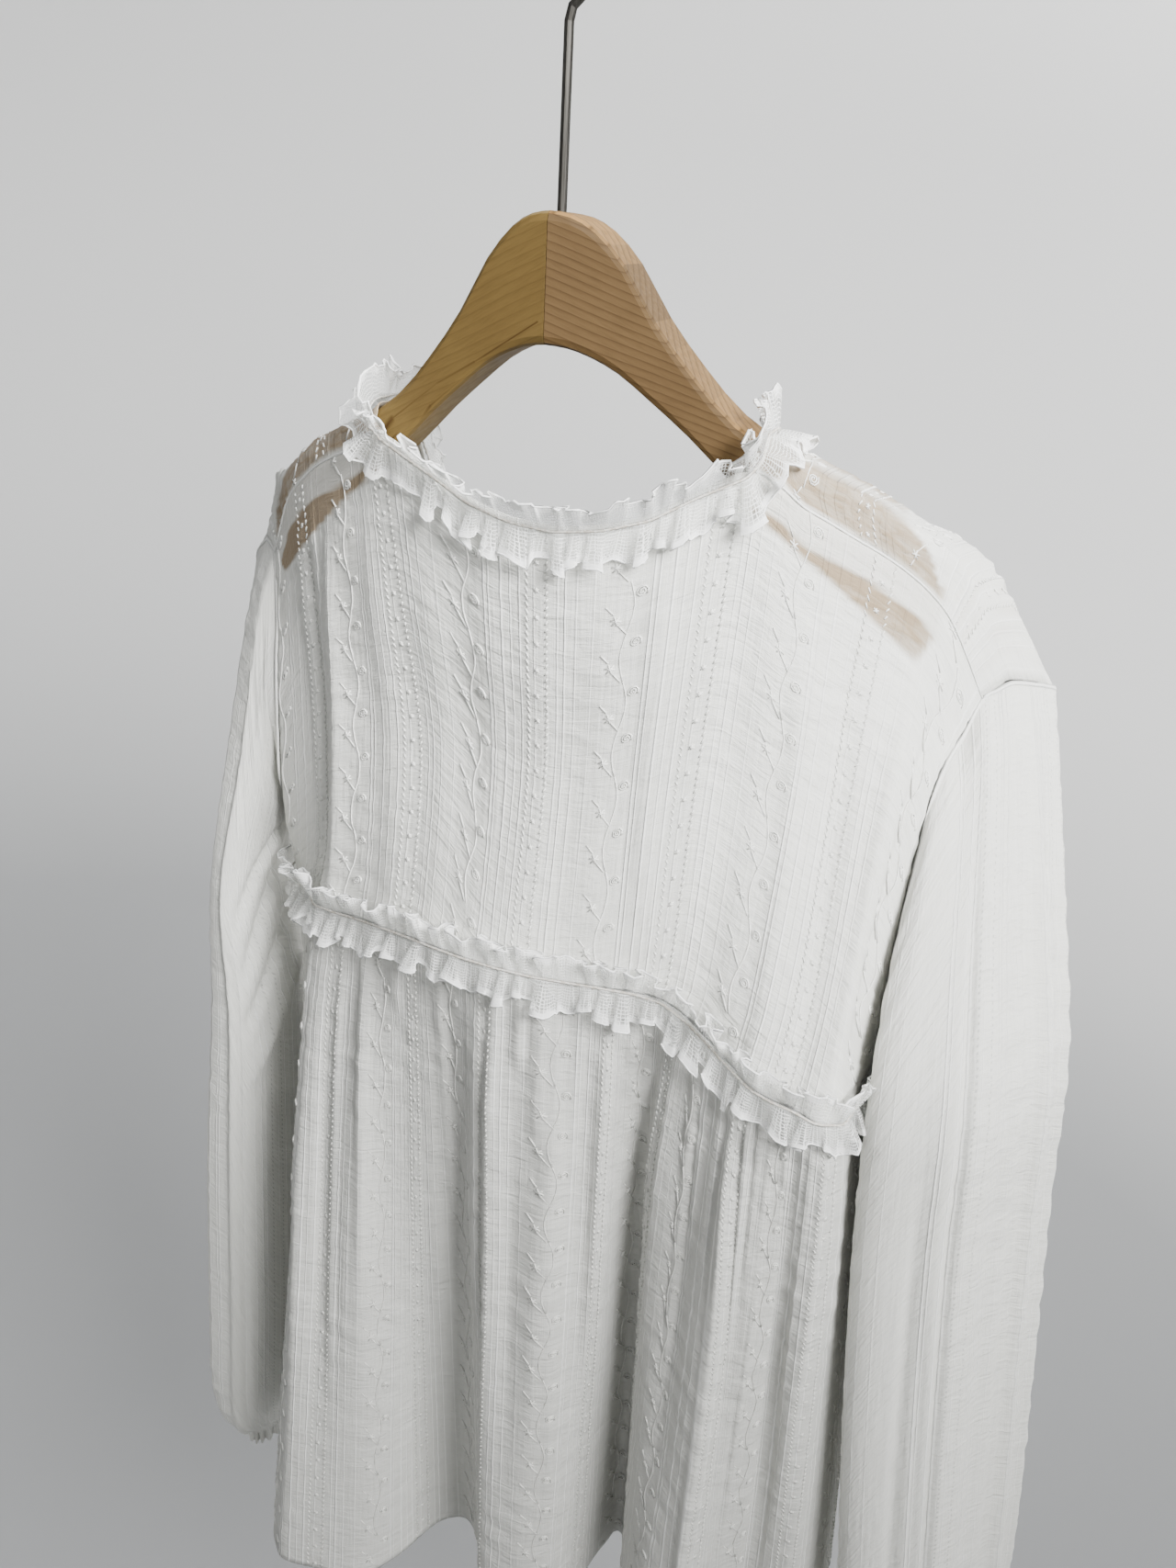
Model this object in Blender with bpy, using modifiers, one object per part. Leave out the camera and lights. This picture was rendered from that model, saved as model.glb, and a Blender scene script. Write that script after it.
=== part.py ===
"""Frill blouse hanging on a contoured wooden hanger, seen and built from its back.

Lengths in the tables are millimetres. Points are given as (across, away, up):
across runs from the hook's stem toward the wearer's right arm, away runs from the
wood's back face toward the wearer's front, and up is measured from the top of the
wood, so cloth has negative heights. place() turns them into the model's own frame:
metres, +Z up, the wearer's left at +X, the back at +Y and the origin at the top of
the inside of the hook, where a rail carries it.
"""
import math

import bmesh
import bpy
import numpy as np
from mathutils import Vector

MM = 0.001

# Hanger
WOOD_DEPTH = 38.4
ARM_SLOPE = math.tan(math.radians(19.6))
STRAIGHT_REACH = 85.0
ARM_CURVE = 0.0042
ARM_REACH = 169.0
CLOTH_REACH = ARM_REACH + 10.0
BRIDGE_START = 138.0
BRIDGE_FALL = 0.7
MITRE_GAP = 0.3
EDGE_RADIUS = 3.5
WIRE = 4.0
STEM_RISE = 67.0
HOOK_RADIUS = 22.0
HOOK_LEAN = math.radians(45.0)
HOOK_SWEEP = math.radians(232.0)
HOOK_STEPS = 26
STEM_BEND = [(0.0, STEM_RISE - 3.0), (1.2, STEM_RISE + 1.8)]
STEM_SUNK = 26.0
HOLE_CLEARANCE = 0.3
HOLE_SIDES = 16
SHARP_EDGE = math.radians(40.0)
HOOK_RISE = STEM_RISE + HOOK_RADIUS * (1 + math.sqrt(2)) - WIRE / 2

# Cloth
WALL = 1.2
SEAM_GAP = 1.0
WOOD_GAP = 1.8
WRAP_LIP = EDGE_RADIUS + 2.5
UNDER_WOOD = 8.0
UPPER_SAG = 0.4
BACK_ROWS = 11
FRONT_ROWS = 9
LACE_WALL = 1.0
NECK_LACE_GAP = 2.5
WAIST_LACE_GAP = 3.4
ARMHOLE_GAP = 1.7
UNDERARM_GAP = 1.2
COLUMNS = 28
PEPLUM_COLUMNS = 56
PEPLUM_ROWS = 9
SHOULDER_ROWS = 6
NECK_STATIONS = (5, 9)
NECK_INSET = 2.5
FRILL_CLEAR = 160.0
FRILL_FADE = 20.0

ARM_RINGS = 25

# Wood outline: across, top, underside
ARM_OUTLINE = np.array([
    (0, 0.0, -48.6), (8, -1.2, -49.6), (17, -6.0, -52.6), (28, -17.5, -58.4),
    (41, -38.0, -68.6), (57, -57.6, -82.0), (75, -75.8, -99.0), (99, -91.0, -119.0),
    (118, -100.0, -135.0), (138, -111.0, -153.0), (157, -128.0, -171.0),
    (164, -139.0, -176.0), (ARM_REACH, -151.0, -169.0)])

# Back bodice: for each station, top edge (across, away, up), then (across, away)
# at the chest and under the arm, then the waist seam (across, away, up)
CHEST_LEVEL = -240.0
UNDER_LEVEL = -315.0
BACK_BODICE = [
    ("left armhole",  (-174, 92, -172), (-168, 76), (-170, 78), (-174, 96, -366)),
    ("left shoulder", (-156, 76, -140), (-150, 68), (-150, 67), (-156, 74, -362)),
    ("fold hollow",   (-137, 59, -123), (-129, 58), (-131, 57), (-139, 56, -356)),
    ("fold crest",    (-122, 48, -113), (-121, 46), (-124, 42), (-129, 38, -351)),
    ("left seam",     (-101, 36, -103), (-95, 38), (-95, 28), (-98, 24, -345)),
    ("left neck",     (-80, 26, -93), (-62, 30), (-60, 14), (-60, 4, -337)),
    ("left sag",      (-36, 18, -115), (-28, 22), (-26, 0), (-25, -11, -333)),
    ("centre",        (4, 13, -122), (7, 13), (8, -6), (10, -15, -333)),
    ("right sag",     (44, 17, -114), (42, 12), (44, -7), (45, -14, -332)),
    ("right neck",    (82, 27, -94), (77, 14), (77, -8), (74, -12, -334)),
    ("right seam",    (106, 36, -108), (106, 20), (104, -12), (100, -20, -347)),
    ("right mid",     (130, 52, -123), (129, 26), (127, -14), (122, -33, -357)),
    ("right blade",   (153, 71, -139), (149, 32), (147, -12), (142, -38, -360)),
    ("right tip",     (176, 90, -163), (167, 40), (161, -4), (161, -31, -368)),
    ("right armhole", (198, 100, -203), (180, 54), (174, 24), (177, 42, -379))]

# Front bodice: the same stations. Over the wood (across near, across far), then for
# cloth past the wood's end its far edge and rise between (away, up, rise), then
# chest, under the arm and waist as above
FRONT_BODICE = [
    ("left armhole",  (-176, -213), (142, -188, 10), (-189, 134), (-176, 116), (-175, 101, -366)),
    ("left shoulder", (-158, -176), (132, -142, 6), (-170, 138), (-164, 132), (-160, 122, -364)),
    ("fold hollow",   (-137, -148), None, (-146, 128), (-142, 132), (-138, 130, -362)),
    ("fold crest",    (-122, -128), None, (-122, 116), (-120, 124), (-116, 128, -360)),
    ("left seam",     (-103, -106), None, (-96, 104), (-92, 112), (-90, 120, -358)),
    ("left neck",     (-85, -86), None, (-62, 96), (-60, 104), (-60, 114, -356)),
    ("left sag",      (-36, -36), None, (-30, 92), (-28, 100), (-28, 112, -355)),
    ("centre",        (0, 0), None, (2, 91), (4, 99), (6, 112, -355)),
    ("right sag",     (36, 36), None, (34, 92), (36, 100), (40, 113, -355)),
    ("right neck",    (85, 86), None, (66, 96), (68, 104), (74, 116, -356)),
    ("right seam",    (103, 106), None, (102, 104), (100, 112), (102, 121, -358)),
    ("right mid",     (127, 131), None, (128, 118), (126, 124), (126, 126, -360)),
    ("right blade",   (150, 158), None, (156, 130), (150, 130), (146, 124, -364)),
    ("right tip",     (176, 196), (150, -152, 15), (186, 138), (172, 118), (172, 106, -368)),
    ("right armhole", (202, 236), (146, -208, 8), (214, 134), (182, 86), (178, 47, -379))]

# How far along the way over the shoulder each row of the front bodice lies
WRAP_SHARES = (0.12, 0.24, 0.38, 0.84, 0.94, 1.0)

# Front neckline between the two neck stations: across, away, up
FRONT_NECK = np.array([
    (-86, 70, -92), (-80, 73, -112), (-70, 77, -138), (-56, 81, -162), (-38, 84, -180),
    (-19, 86, -190), (0, 87, -193), (19, 86, -190), (38, 84, -180), (56, 81, -162),
    (70, 77, -138), (80, 73, -112), (86, 70, -92)])

# Peplum hem: for each fold, the waist station it hangs from, then across and away
BACK_HEM = np.array([
    (0, -150, 94), (0.8, -150, 50), (1.7, -147, -4), (2.6, -137, -52), (3.2, -115, -62),
    (3.9, -88, -62), (4.5, -64, -56), (5.0, -44, -24), (5.4, -26, 2), (5.8, -10, -18),
    (6.4, 6, -48), (7.0, 26, -58), (7.8, 48, -48), (8.4, 62, -8), (8.8, 74, 26),
    (9.2, 85, -14), (9.8, 98, -58), (10.6, 118, -66), (11.3, 136, -44), (12.0, 154, -18),
    (12.8, 174, -26), (13.3, 192, -22), (13.7, 203, 8), (14.0, 206, 48)])
FRONT_HEM = np.array([
    (0, -150, 96), (1.0, -148, 128), (2.0, -132, 150), (3.0, -108, 158), (4.0, -88, 138),
    (5.0, -68, 134), (6.0, -44, 158), (7.0, -12, 164), (7.6, 8, 140), (8.3, 28, 136),
    (9.0, 52, 158), (10.0, 84, 160), (10.7, 102, 138), (11.4, 120, 136), (12.0, 142, 152),
    (13.0, 174, 134), (13.6, 197, 98), (14.0, 206, 54)])
HEM_LEVEL = -756.0
HEM_DIP = 16.0
DRAPE_POWER = 0.85
GATHERS = 13
GATHER_DEPTH = 3.2
GATHER_FADE = 1.15

# Sleeve outlines about their centre line (across, away), from the back ridge round
# the outer side, the front and the inner side; then the places in each list of the
# outermost point and of the one below the underarm
RIGHT_OUTLINE = [
    (-3, -58), (13, -44), (28, -26), (39, -8), (44, 12), (42, 34), (34, 50), (12, 60),
    (-8, 54), (-22, 40), (-29, 20), (-32, -4), (-38, -32), (-50, -54), (-42, -64),
    (-22, -62)]
RIGHT_CORNERS = (4, 11)
LEFT_OUTLINE = [
    (-4, -60), (-16, -54), (-24, -44), (-26, -28), (-32, -10), (-30, 12), (-26, 32),
    (-18, 50), (-6, 60), (8, 58), (18, 46), (22, 24), (22, 4), (20, -20), (15, -42),
    (6, -56)]
LEFT_CORNERS = (5, 12)
SLEEVE_POINTS = (6, 9, 9)
UNDERARM = {"left": -322.0, "right": -336.0}
SLEEVE_HEAD_DROP = 12.0
SLEEVE_HEAD_SLOPE = 0.5
# Sleeve sections: up, centre across, centre away, width and depth factors, and how
# far the section has left the armhole's own shape
RIGHT_SLEEVE = [
    (-262, 216, 64, 0.80, 0.90, 0.35), (-318, 219, 52, 0.92, 0.96, 0.75),
    (-366, 223, 46, 0.98, 1.00, 1.00), (-450, 230, 44, 1.02, 1.02, 1.00),
    (-560, 242, 42, 1.05, 1.04, 1.00), (-680, 256, 38, 1.05, 1.05, 1.00),
    (-755, 264, 36, 1.02, 1.02, 1.00), (-790, 267, 36, 0.86, 0.88, 1.00),
    (-808, 268, 36, 0.56, 0.58, 1.00), (-822, 268, 36, 0.52, 0.54, 1.00)]
LEFT_SLEEVE = [
    (-255, -196, 112, 0.60, 0.80, 0.35), (-310, -194, 110, 0.60, 0.86, 0.75),
    (-366, -199, 108, 0.50, 0.94, 1.00), (-450, -195, 104, 0.82, 1.00, 1.00),
    (-560, -197, 94, 1.04, 1.00, 1.00), (-680, -197, 80, 1.10, 0.98, 1.00),
    (-745, -198, 72, 1.10, 0.94, 1.00), (-778, -198, 68, 0.96, 0.82, 1.00),
    (-794, -197, 66, 0.72, 0.56, 1.00), (-808, -197, 66, 0.66, 0.52, 1.00)]

# Lace frills: waves round the neck and waist, half widths, and how far waves swing
NECK_WAVES = 44
WAIST_WAVES = 56
WAVE_STEPS = 4
FRILL_UPPER = 12.0
FRILL_LOWER = 14.0
FRILL_SWING = 2.6
LOWER_LIFT = 1.5
LEAST_SLACK = 0.2
SMOOTHINGS = 4
NECK_TILT = math.radians(28.0)
WAIST_TILT = math.radians(12.0)

COLOURS = {
    "cotton": ((0.80, 0.81, 0.78), 0.90, 0.0),
    "lace": ((0.86, 0.87, 0.86), 0.85, 0.0),
    "wood_left": ((0.40, 0.24, 0.11), 0.55, 0.0),
    "wood_right": ((0.52, 0.31, 0.17), 0.55, 0.0),
    "steel": ((0.36, 0.36, 0.35), 0.35, 1.0)}


def place(point):
    """A table point as a vector in the model's frame."""
    across, away, up = (float(value) for value in point)
    return Vector((-across, WOOD_DEPTH / 2 - away, up - HOOK_RISE)) * MM


def material(name):
    """The Principled material that a slot names."""
    found = bpy.data.materials.get(name)
    if found:
        return found
    colour, roughness, metallic = COLOURS[name]
    made = bpy.data.materials.new(name)
    made.use_nodes = True
    shader = made.node_tree.nodes["Principled BSDF"]
    shader.inputs["Base Color"].default_value = (*colour, 1.0)
    shader.inputs["Roughness"].default_value = roughness
    shader.inputs["Metallic"].default_value = metallic
    return made


def smooth_through(rows, count):
    """A curve through the rows, as count points (Catmull-Rom)."""
    rows = np.asarray(rows, dtype=float)
    padded = np.concatenate([[2 * rows[0] - rows[1]], rows, [2 * rows[-1] - rows[-2]]])
    steps = np.linspace(0, len(rows) - 1, count)
    start = np.minimum(steps.astype(int), len(rows) - 2)
    t = (steps - start).reshape((-1,) + (1,) * (rows.ndim - 1))
    before, left, right, after = (padded[start + k] for k in range(4))
    return 0.5 * (2 * left + (right - before) * t
                  + (2 * before - 5 * left + 4 * right - after) * t ** 2
                  + (3 * left - before - 3 * right + after) * t ** 3)


ARM_SECTIONS = smooth_through(ARM_OUTLINE, ARM_RINGS)


def wood_back(across):
    """How far away the wood's back face lies at an across position."""
    reach = np.abs(across)
    return ARM_SLOPE * reach + ARM_CURVE * np.maximum(reach - STRAIGHT_REACH, 0) ** 2


def wood_front(across):
    return wood_back(across) + WOOD_DEPTH


def wood_top(across):
    return np.interp(np.abs(across), ARM_SECTIONS[:, 0], ARM_SECTIONS[:, 1])


def shoulder_top(across):
    """The wood's top, with cloth bridging straight past its rounded ends."""
    past = np.maximum(np.abs(across) - BRIDGE_START, 0)
    return np.maximum(wood_top(across), wood_top(BRIDGE_START) - BRIDGE_FALL * past)


def wood_under(across):
    return np.interp(np.abs(across), ARM_SECTIONS[:, 0], ARM_SECTIONS[:, 2])


def mesh_object(name, points, faces, slot):
    """A mesh from table points and faces, in the model's collection."""
    mesh = bpy.data.meshes.new(name)
    mesh.from_pydata([place(point) for point in points], [], faces)
    mesh.materials.append(material(slot))
    made = bpy.data.objects.new(name, mesh)
    blouse.objects.link(made)
    return made


def face_outward(made):
    """Turn the faces of a closed mesh to point out."""
    shape = bmesh.new()
    shape.from_mesh(made.data)
    bmesh.ops.recalc_face_normals(shape, faces=shape.faces)
    shape.to_mesh(made.data)
    shape.free()


def cloth(name, grid, slot="cotton", wall=WALL, skip=None, closed=False):
    """A wall of cloth on a grid of points: rows go down, columns go across."""
    rows, columns = grid.shape[:2]
    used = {}
    points, faces = [], []

    def vertex(row, column):
        key = (row, column % columns)
        if key not in used:
            used[key] = len(points)
            points.append(grid[key])
        return used[key]

    for row in range(rows - 1):
        for column in range(columns if closed else columns - 1):
            if skip is not None and skip[row, column]:
                continue
            faces.append((vertex(row, column), vertex(row + 1, column),
                          vertex(row + 1, column + 1), vertex(row, column + 1)))
    made = mesh_object(name, points, faces, slot)
    made.data.shade_smooth()
    shell = made.modifiers.new("wall", "SOLIDIFY")
    shell.thickness = wall * MM
    shell.offset = 0.0
    shell.use_quality_normals = True
    return made


def wooden_arm(name, side, slot):
    """One half of the hanger, lofted through rounded sections from the mitre out."""
    corner = [(math.cos(a), math.sin(a)) for a in (0, math.pi / 4, math.pi / 2)]
    points, faces = [], []
    for reach, top, under in ARM_SECTIONS:
        across = side * (reach + (MITRE_GAP / 2 if reach == 0 else 0))
        near, far = wood_back(reach), wood_front(reach)
        for away, up, turn in ((far, top, 0), (near, top, 1), (near, under, 2), (far, under, 3)):
            middle = (away + (EDGE_RADIUS if turn in (1, 2) else -EDGE_RADIUS),
                      up + (EDGE_RADIUS if turn in (2, 3) else -EDGE_RADIUS))
            for x, y in corner:
                for _ in range(turn):
                    x, y = -y, x
                points.append((across, middle[0] + EDGE_RADIUS * x, middle[1] + EDGE_RADIUS * y))
    ring = 12
    sections = len(ARM_SECTIONS)
    for section in range(sections - 1):
        for k in range(ring):
            a, b = section * ring + k, section * ring + (k + 1) % ring
            faces.append((a, b, b + ring, a + ring))
    faces.append(tuple(range(ring)))
    faces.append(tuple(range((sections - 1) * ring, sections * ring)))
    made = mesh_object(name, points, faces, slot)
    face_outward(made)
    cut = made.modifiers.new("stem hole", "BOOLEAN")
    cut.operation = "DIFFERENCE"
    cut.object = stem_hole
    made.data.set_sharp_from_angle(angle=SHARP_EDGE)
    return made


def stem_hole_cutter():
    """The drilled hole, cut from both halves at the mitre."""
    depth = STEM_SUNK + HOLE_CLEARANCE
    bpy.ops.mesh.primitive_cylinder_add(
        vertices=HOLE_SIDES, radius=(WIRE / 2 + HOLE_CLEARANCE) * MM, depth=2 * depth * MM,
        location=place((0, WOOD_DEPTH / 2, 0)))
    made = bpy.context.object
    made.name = "stem_hole"
    for collection in list(made.users_collection):
        collection.objects.unlink(made)
    cutters.objects.link(made)
    made.hide_render = True
    made.display_type = "WIRE"
    return made


def hook_route():
    """The steel wire: sunk stem, lean toward the wearer's right, then the round hook."""
    centre_up = STEM_RISE + HOOK_RADIUS * math.sqrt(2)
    route = [(0, -STEM_SUNK), *STEM_BEND]
    for k in range(HOOK_STEPS + 1):
        angle = -HOOK_LEAN + HOOK_SWEEP * k / HOOK_STEPS
        route.append((HOOK_RADIUS * math.cos(angle), centre_up + HOOK_RADIUS * math.sin(angle)))
    return [(across, WOOD_DEPTH / 2, up) for across, up in route]


def steel_hook():
    curve = bpy.data.curves.new("hook", "CURVE")
    curve.dimensions = "3D"
    curve.bevel_depth = WIRE / 2 * MM
    curve.bevel_resolution = 2
    curve.use_fill_caps = True
    route = hook_route()
    spline = curve.splines.new("POLY")
    spline.points.add(len(route) - 1)
    for point, where in zip(spline.points, route):
        point.co = (*place(where), 1.0)
    curve.materials.append(material("steel"))
    made = bpy.data.objects.new("hook", curve)
    blouse.objects.link(made)
    return made


def clear_of_wood(grid, side):
    """Move points that lie beside the wood out to its back (-1) or front (1) face."""
    across, away, up = grid[..., 0], grid[..., 1], grid[..., 2]
    beside = (up > wood_under(across) - UNDER_WOOD) & (np.abs(across) < CLOTH_REACH)
    if side < 0:
        pushed = np.minimum(away, wood_back(across) - WOOD_GAP)
    else:
        pushed = np.maximum(away, wood_front(across) + WOOD_GAP)
    grid[..., 1] = np.where(beside, pushed, away)
    return grid


def back_bodice_grid():
    """Rows from the shoulder and neck edge down to the waist seam."""
    top, chest, under, waist = ([row[k] for row in BACK_BODICE] for k in range(1, 5))
    levels = np.array([top,
                       [(x, y, CHEST_LEVEL) for x, y in chest],
                       [(x, y, UNDER_LEVEL) for x, y in under],
                       waist], dtype=float)
    edges = np.array([smooth_through(level, COLUMNS + 1) for level in levels])
    between = 0.5 * (edges[0] + edges[1])
    between[:, 1] = (1 - UPPER_SAG) * edges[0][:, 1] + UPPER_SAG * edges[1][:, 1]
    rows = [edges[0], between, edges[1], edges[2], edges[3]]
    grid = smooth_through(rows, BACK_ROWS)
    return clear_of_wood(grid, -1)


def front_bodice_grid(back_top):
    """Rows from the shoulder seam over the wood and down to the waist seam.

    Also returns the cells left out of the first rows, which are the neck opening.
    """
    beyond = [row[2] for row in FRONT_BODICE]
    over, chest, under, waist = (
        np.array([row[k] for row in FRONT_BODICE], dtype=float) for k in (1, 3, 4, 5))
    seam = back_top[::2] + (0, 0, SEAM_GAP)
    near, far = over[:, 0], over[:, 1]
    lift, lip = WOOD_GAP, WRAP_LIP
    # Across, depth from the near or far face, height over the top
    wrap = [(near, wood_back(near) - lift, -lip), (near, wood_back(near), 0),
            (near, wood_back(near) + lip, lift), (far, wood_front(far) - lip, lift),
            (far, wood_front(far), 0), (far, wood_front(far) + lift, -lip)]
    upper = [seam]
    for share, (across, away, height) in zip(WRAP_SHARES, wrap):
        row = np.stack([across, away, shoulder_top(across) + height], axis=1)
        for station, edge in enumerate(beyond):
            if edge is not None:
                *edge, puff = edge
                edge = np.array([far[station], *edge])
                row[station] = seam[station] + (edge - seam[station]) * share
                row[station, 2] += puff * math.sin(math.pi * share)
        upper.append(row)
    levels = [upper.pop(), None,
              np.column_stack([chest, np.full(len(chest), CHEST_LEVEL)]),
              np.column_stack([under, np.full(len(under), UNDER_LEVEL)]), waist]
    upper = [smooth_through(row, COLUMNS + 1) for row in upper]
    for row, height in zip(upper[2:], (0, lift, lift, 0)):
        on_wood = np.abs(row[:, 0]) < CLOTH_REACH
        row[:, 2] = np.where(on_wood, np.maximum(row[:, 2], shoulder_top(row[:, 0]) + height),
                             row[:, 2])
    near_row, far_row = upper[2], upper[5]
    near_row[:, 1] = np.minimum(near_row[:, 1], wood_back(near_row[:, 0]))
    on_wood = np.abs(far_row[:, 0]) < CLOTH_REACH
    far_row[:, 1] = np.where(on_wood, np.maximum(far_row[:, 1], wood_front(far_row[:, 0])),
                             far_row[:, 1])
    edges = [None if row is None else smooth_through(row, COLUMNS + 1) for row in levels]
    neck = slice(NECK_STATIONS[0] * 2, NECK_STATIONS[1] * 2 + 1)
    edges[0][neck] = smooth_through(FRONT_NECK, neck.stop - neck.start)
    edges[1] = 0.5 * (edges[0] + edges[2])
    lower = clear_of_wood(smooth_through(np.array(edges), FRONT_ROWS), 1)
    upper[:2] = [clear_of_wood(row, -1) for row in upper[:2]]
    grid = np.vstack([np.array(upper), lower])
    opening = np.zeros((grid.shape[0] - 1, COLUMNS), dtype=bool)
    opening[:SHOULDER_ROWS, neck.start:neck.stop - 1] = True
    return grid, opening


def peplum_grid(waist, hem):
    """Rows from the waist seam to the hem; the hem's folds fade in on the way down."""
    stations = np.linspace(0, len(BACK_BODICE) - 1, PEPLUM_COLUMNS + 1)
    top = smooth_through(waist, PEPLUM_COLUMNS + 1) - (0, 0, SEAM_GAP)
    across = np.interp(stations, hem[:, 0], hem[:, 1])
    away = np.interp(stations, hem[:, 0], hem[:, 2])
    for edge in (across, away):
        edge[1:-1] = 0.25 * edge[:-2] + 0.5 * edge[1:-1] + 0.25 * edge[2:]
    level = HEM_LEVEL - HEM_DIP * (2 * stations / stations[-1] - 1) ** 2
    bottom = np.stack([across, away, level], axis=1)
    waves = np.sin(2 * math.pi * GATHERS * stations / stations[-1])
    rows = []
    for share in np.linspace(0, 1, PEPLUM_ROWS):
        row = top + (bottom - top) * share
        drape = share ** DRAPE_POWER
        row[:, :2] = top[:, :2] + (bottom[:, :2] - top[:, :2]) * drape
        fade = math.sin(math.pi * min(1.0, GATHER_FADE * share)) ** 2
        row[:, 1] += waves * GATHER_DEPTH * fade
        rows.append(row)
    return np.array(rows)


def along(points, shares):
    """Points at shares of the length of a line of points."""
    steps = np.concatenate([[0], np.cumsum(np.linalg.norm(np.diff(points, axis=0), axis=1))])
    wanted = np.asarray(shares) * steps[-1]
    return np.stack([np.interp(wanted, steps, points[:, k]) for k in range(3)], axis=1)


def armhole(back, front, edge, inner, underarm):
    """Just off the armhole: over the shoulder, down the front, then up the back."""
    front, up = (grid[:, edge] + unit(grid[:, edge] - grid[:, inner]) * ARMHOLE_GAP
                 for grid in (front, back))
    over = front[:SHOULDER_ROWS + 1]
    down = front[SHOULDER_ROWS:]
    down = down[down[:, 2] > underarm]
    up = up[up[:, 2] > underarm][::-1]
    bottom = 0.5 * (down[-1] + up[0])
    bottom[2] = underarm
    down, up = np.vstack([down, bottom]), np.vstack([bottom, up])
    runs = [along(run, np.arange(count) / count)
            for run, count in zip((over, down, up), SLEEVE_POINTS)]
    return np.vstack(runs)


def sleeve_grid(side, hole, outline, corners, sections):
    """Rings from the armhole to the wrist, and the armhole shape fading out."""
    turns = np.concatenate([
        np.linspace(a, b, count, endpoint=False)
        for a, b, count in zip((0, *corners), (*corners, len(outline)), SLEEVE_POINTS)])
    shape = loop_at(outline, turns)
    depth = (hole[:, 2].max() - hole[:, 2]) / np.ptp(hole[:, 2])
    ring = hole.copy()
    ring[:, 0] += side * UNDERARM_GAP * depth ** 2
    rings = [ring]
    for up, across, away, wide, deep, left in sections:
        flat = np.column_stack([across + wide * shape[:, 0], away + deep * shape[:, 1],
                                np.full(len(shape), float(up))])
        hung = ring.copy()
        hung[:, 2] += (up - sections[0][0]) * SLEEVE_HEAD_SLOPE - SLEEVE_HEAD_DROP
        rings.append(flat * left + hung * (1 - left))
    return np.array(rings)


def loop_at(rows, turns):
    """A closed curve through the rows, at the given places in the list."""
    rows = np.asarray(rows, dtype=float)
    start = turns.astype(int)
    t = (turns - start)[:, None]
    before, left, right, after = (rows[(start + k) % len(rows)] for k in (-1, 0, 1, 2))
    return 0.5 * (2 * left + (right - before) * t
                  + (2 * before - 5 * left + 4 * right - after) * t ** 2
                  + (3 * left - before - 3 * right + after) * t ** 3)


def unit(vectors):
    return vectors / np.linalg.norm(vectors, axis=1)[:, None]


def frill(name, line, rise, fall, waves, gap, tilt, slack):
    """A closed gathered ribbon along a line, its halves along rise and fall."""
    count = waves * WAVE_STEPS
    closed = np.vstack([line, line[:1]])
    lengths = np.concatenate([[0], np.cumsum(np.linalg.norm(np.diff(closed, axis=0), axis=1))])
    wanted = np.arange(count) / count * lengths[-1]

    def spread(values):
        values = np.vstack([values, values[:1]])
        return np.stack([np.interp(wanted, lengths, values[:, k]) for k in range(3)], axis=1)

    stitch, rise, fall = spread(line), spread(rise), spread(fall)
    for _ in range(SMOOTHINGS):
        rise = 0.25 * np.roll(rise, 1, 0) + 0.5 * rise + 0.25 * np.roll(rise, -1, 0)
        fall = 0.25 * np.roll(fall, 1, 0) + 0.5 * fall + 0.25 * np.roll(fall, -1, 0)
    rise, fall = unit(rise), unit(fall)
    tangent = unit(np.roll(stitch, -1, 0) - np.roll(stitch, 1, 0))
    outward = unit(np.cross(fall - rise, tangent))
    phase = 2 * math.pi * np.arange(count) / WAVE_STEPS
    free = np.clip(slack(stitch), LEAST_SLACK, 1.0)
    base = stitch + outward * gap
    upper = (base + rise * (FRILL_UPPER * math.cos(tilt))
             + outward * (free * FRILL_UPPER * math.sin(tilt)
                          + free * FRILL_SWING * (1 + np.sin(phase)))[:, None])
    lower = (base + fall * FRILL_LOWER
             + outward * (free * FRILL_SWING * (LOWER_LIFT + np.cos(phase)))[:, None])
    return cloth(name, np.array([upper, base, lower]), "lace", LACE_WALL, closed=True)


def neck_frill(back, front):
    """Round the neck edge: back, right shoulder, front and left shoulder."""
    first, last = (station * 2 for station in NECK_STATIONS)
    rows = SHOULDER_ROWS
    line = [back[0, first:last + 1], front[1:rows, last], front[rows, last:first - 1:-1],
            front[rows - 1:0:-1, first]]
    into = [back[1, first:last + 1], front[1:rows, last + 1],
            front[rows + 1, last:first - 1:-1], front[rows - 1:0:-1, first - 1]]
    line, into = np.vstack(line), np.vstack(into)
    fall = unit(into - line)
    line = line + fall * NECK_INSET
    return frill("neck_frill", line, -fall, fall, NECK_WAVES, NECK_LACE_GAP,
                 NECK_TILT, lambda points: np.ones(len(points)))


def waist_frill(back, front, back_skirt, front_skirt):
    """Round the waist seam, over the bodice's edge and the peplum's gathers."""
    step = PEPLUM_COLUMNS // COLUMNS
    line = np.vstack([back[-1], front[-1, ::-1]])
    above = np.vstack([back[-2], front[-2, ::-1]])
    below = np.vstack([back_skirt[1, ::step], front_skirt[1, ::-step]])
    return frill("waist_frill", line, unit(above - line), unit(below - line), WAIST_WAVES,
                 WAIST_LACE_GAP, WAIST_TILT,
                 lambda points: (FRILL_CLEAR - np.abs(points[:, 0])) / FRILL_FADE)


for leftover in list(bpy.data.objects):
    bpy.data.objects.remove(leftover, do_unlink=True)
blouse = bpy.data.collections.new("frill_blouse")
cutters = bpy.data.collections.new("cutters")
bpy.context.scene.collection.children.link(blouse)
bpy.context.scene.collection.children.link(cutters)

stem_hole = stem_hole_cutter()
wooden_arm("hanger_left", -1, "wood_left")
wooden_arm("hanger_right", 1, "wood_right")
steel_hook()

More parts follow.
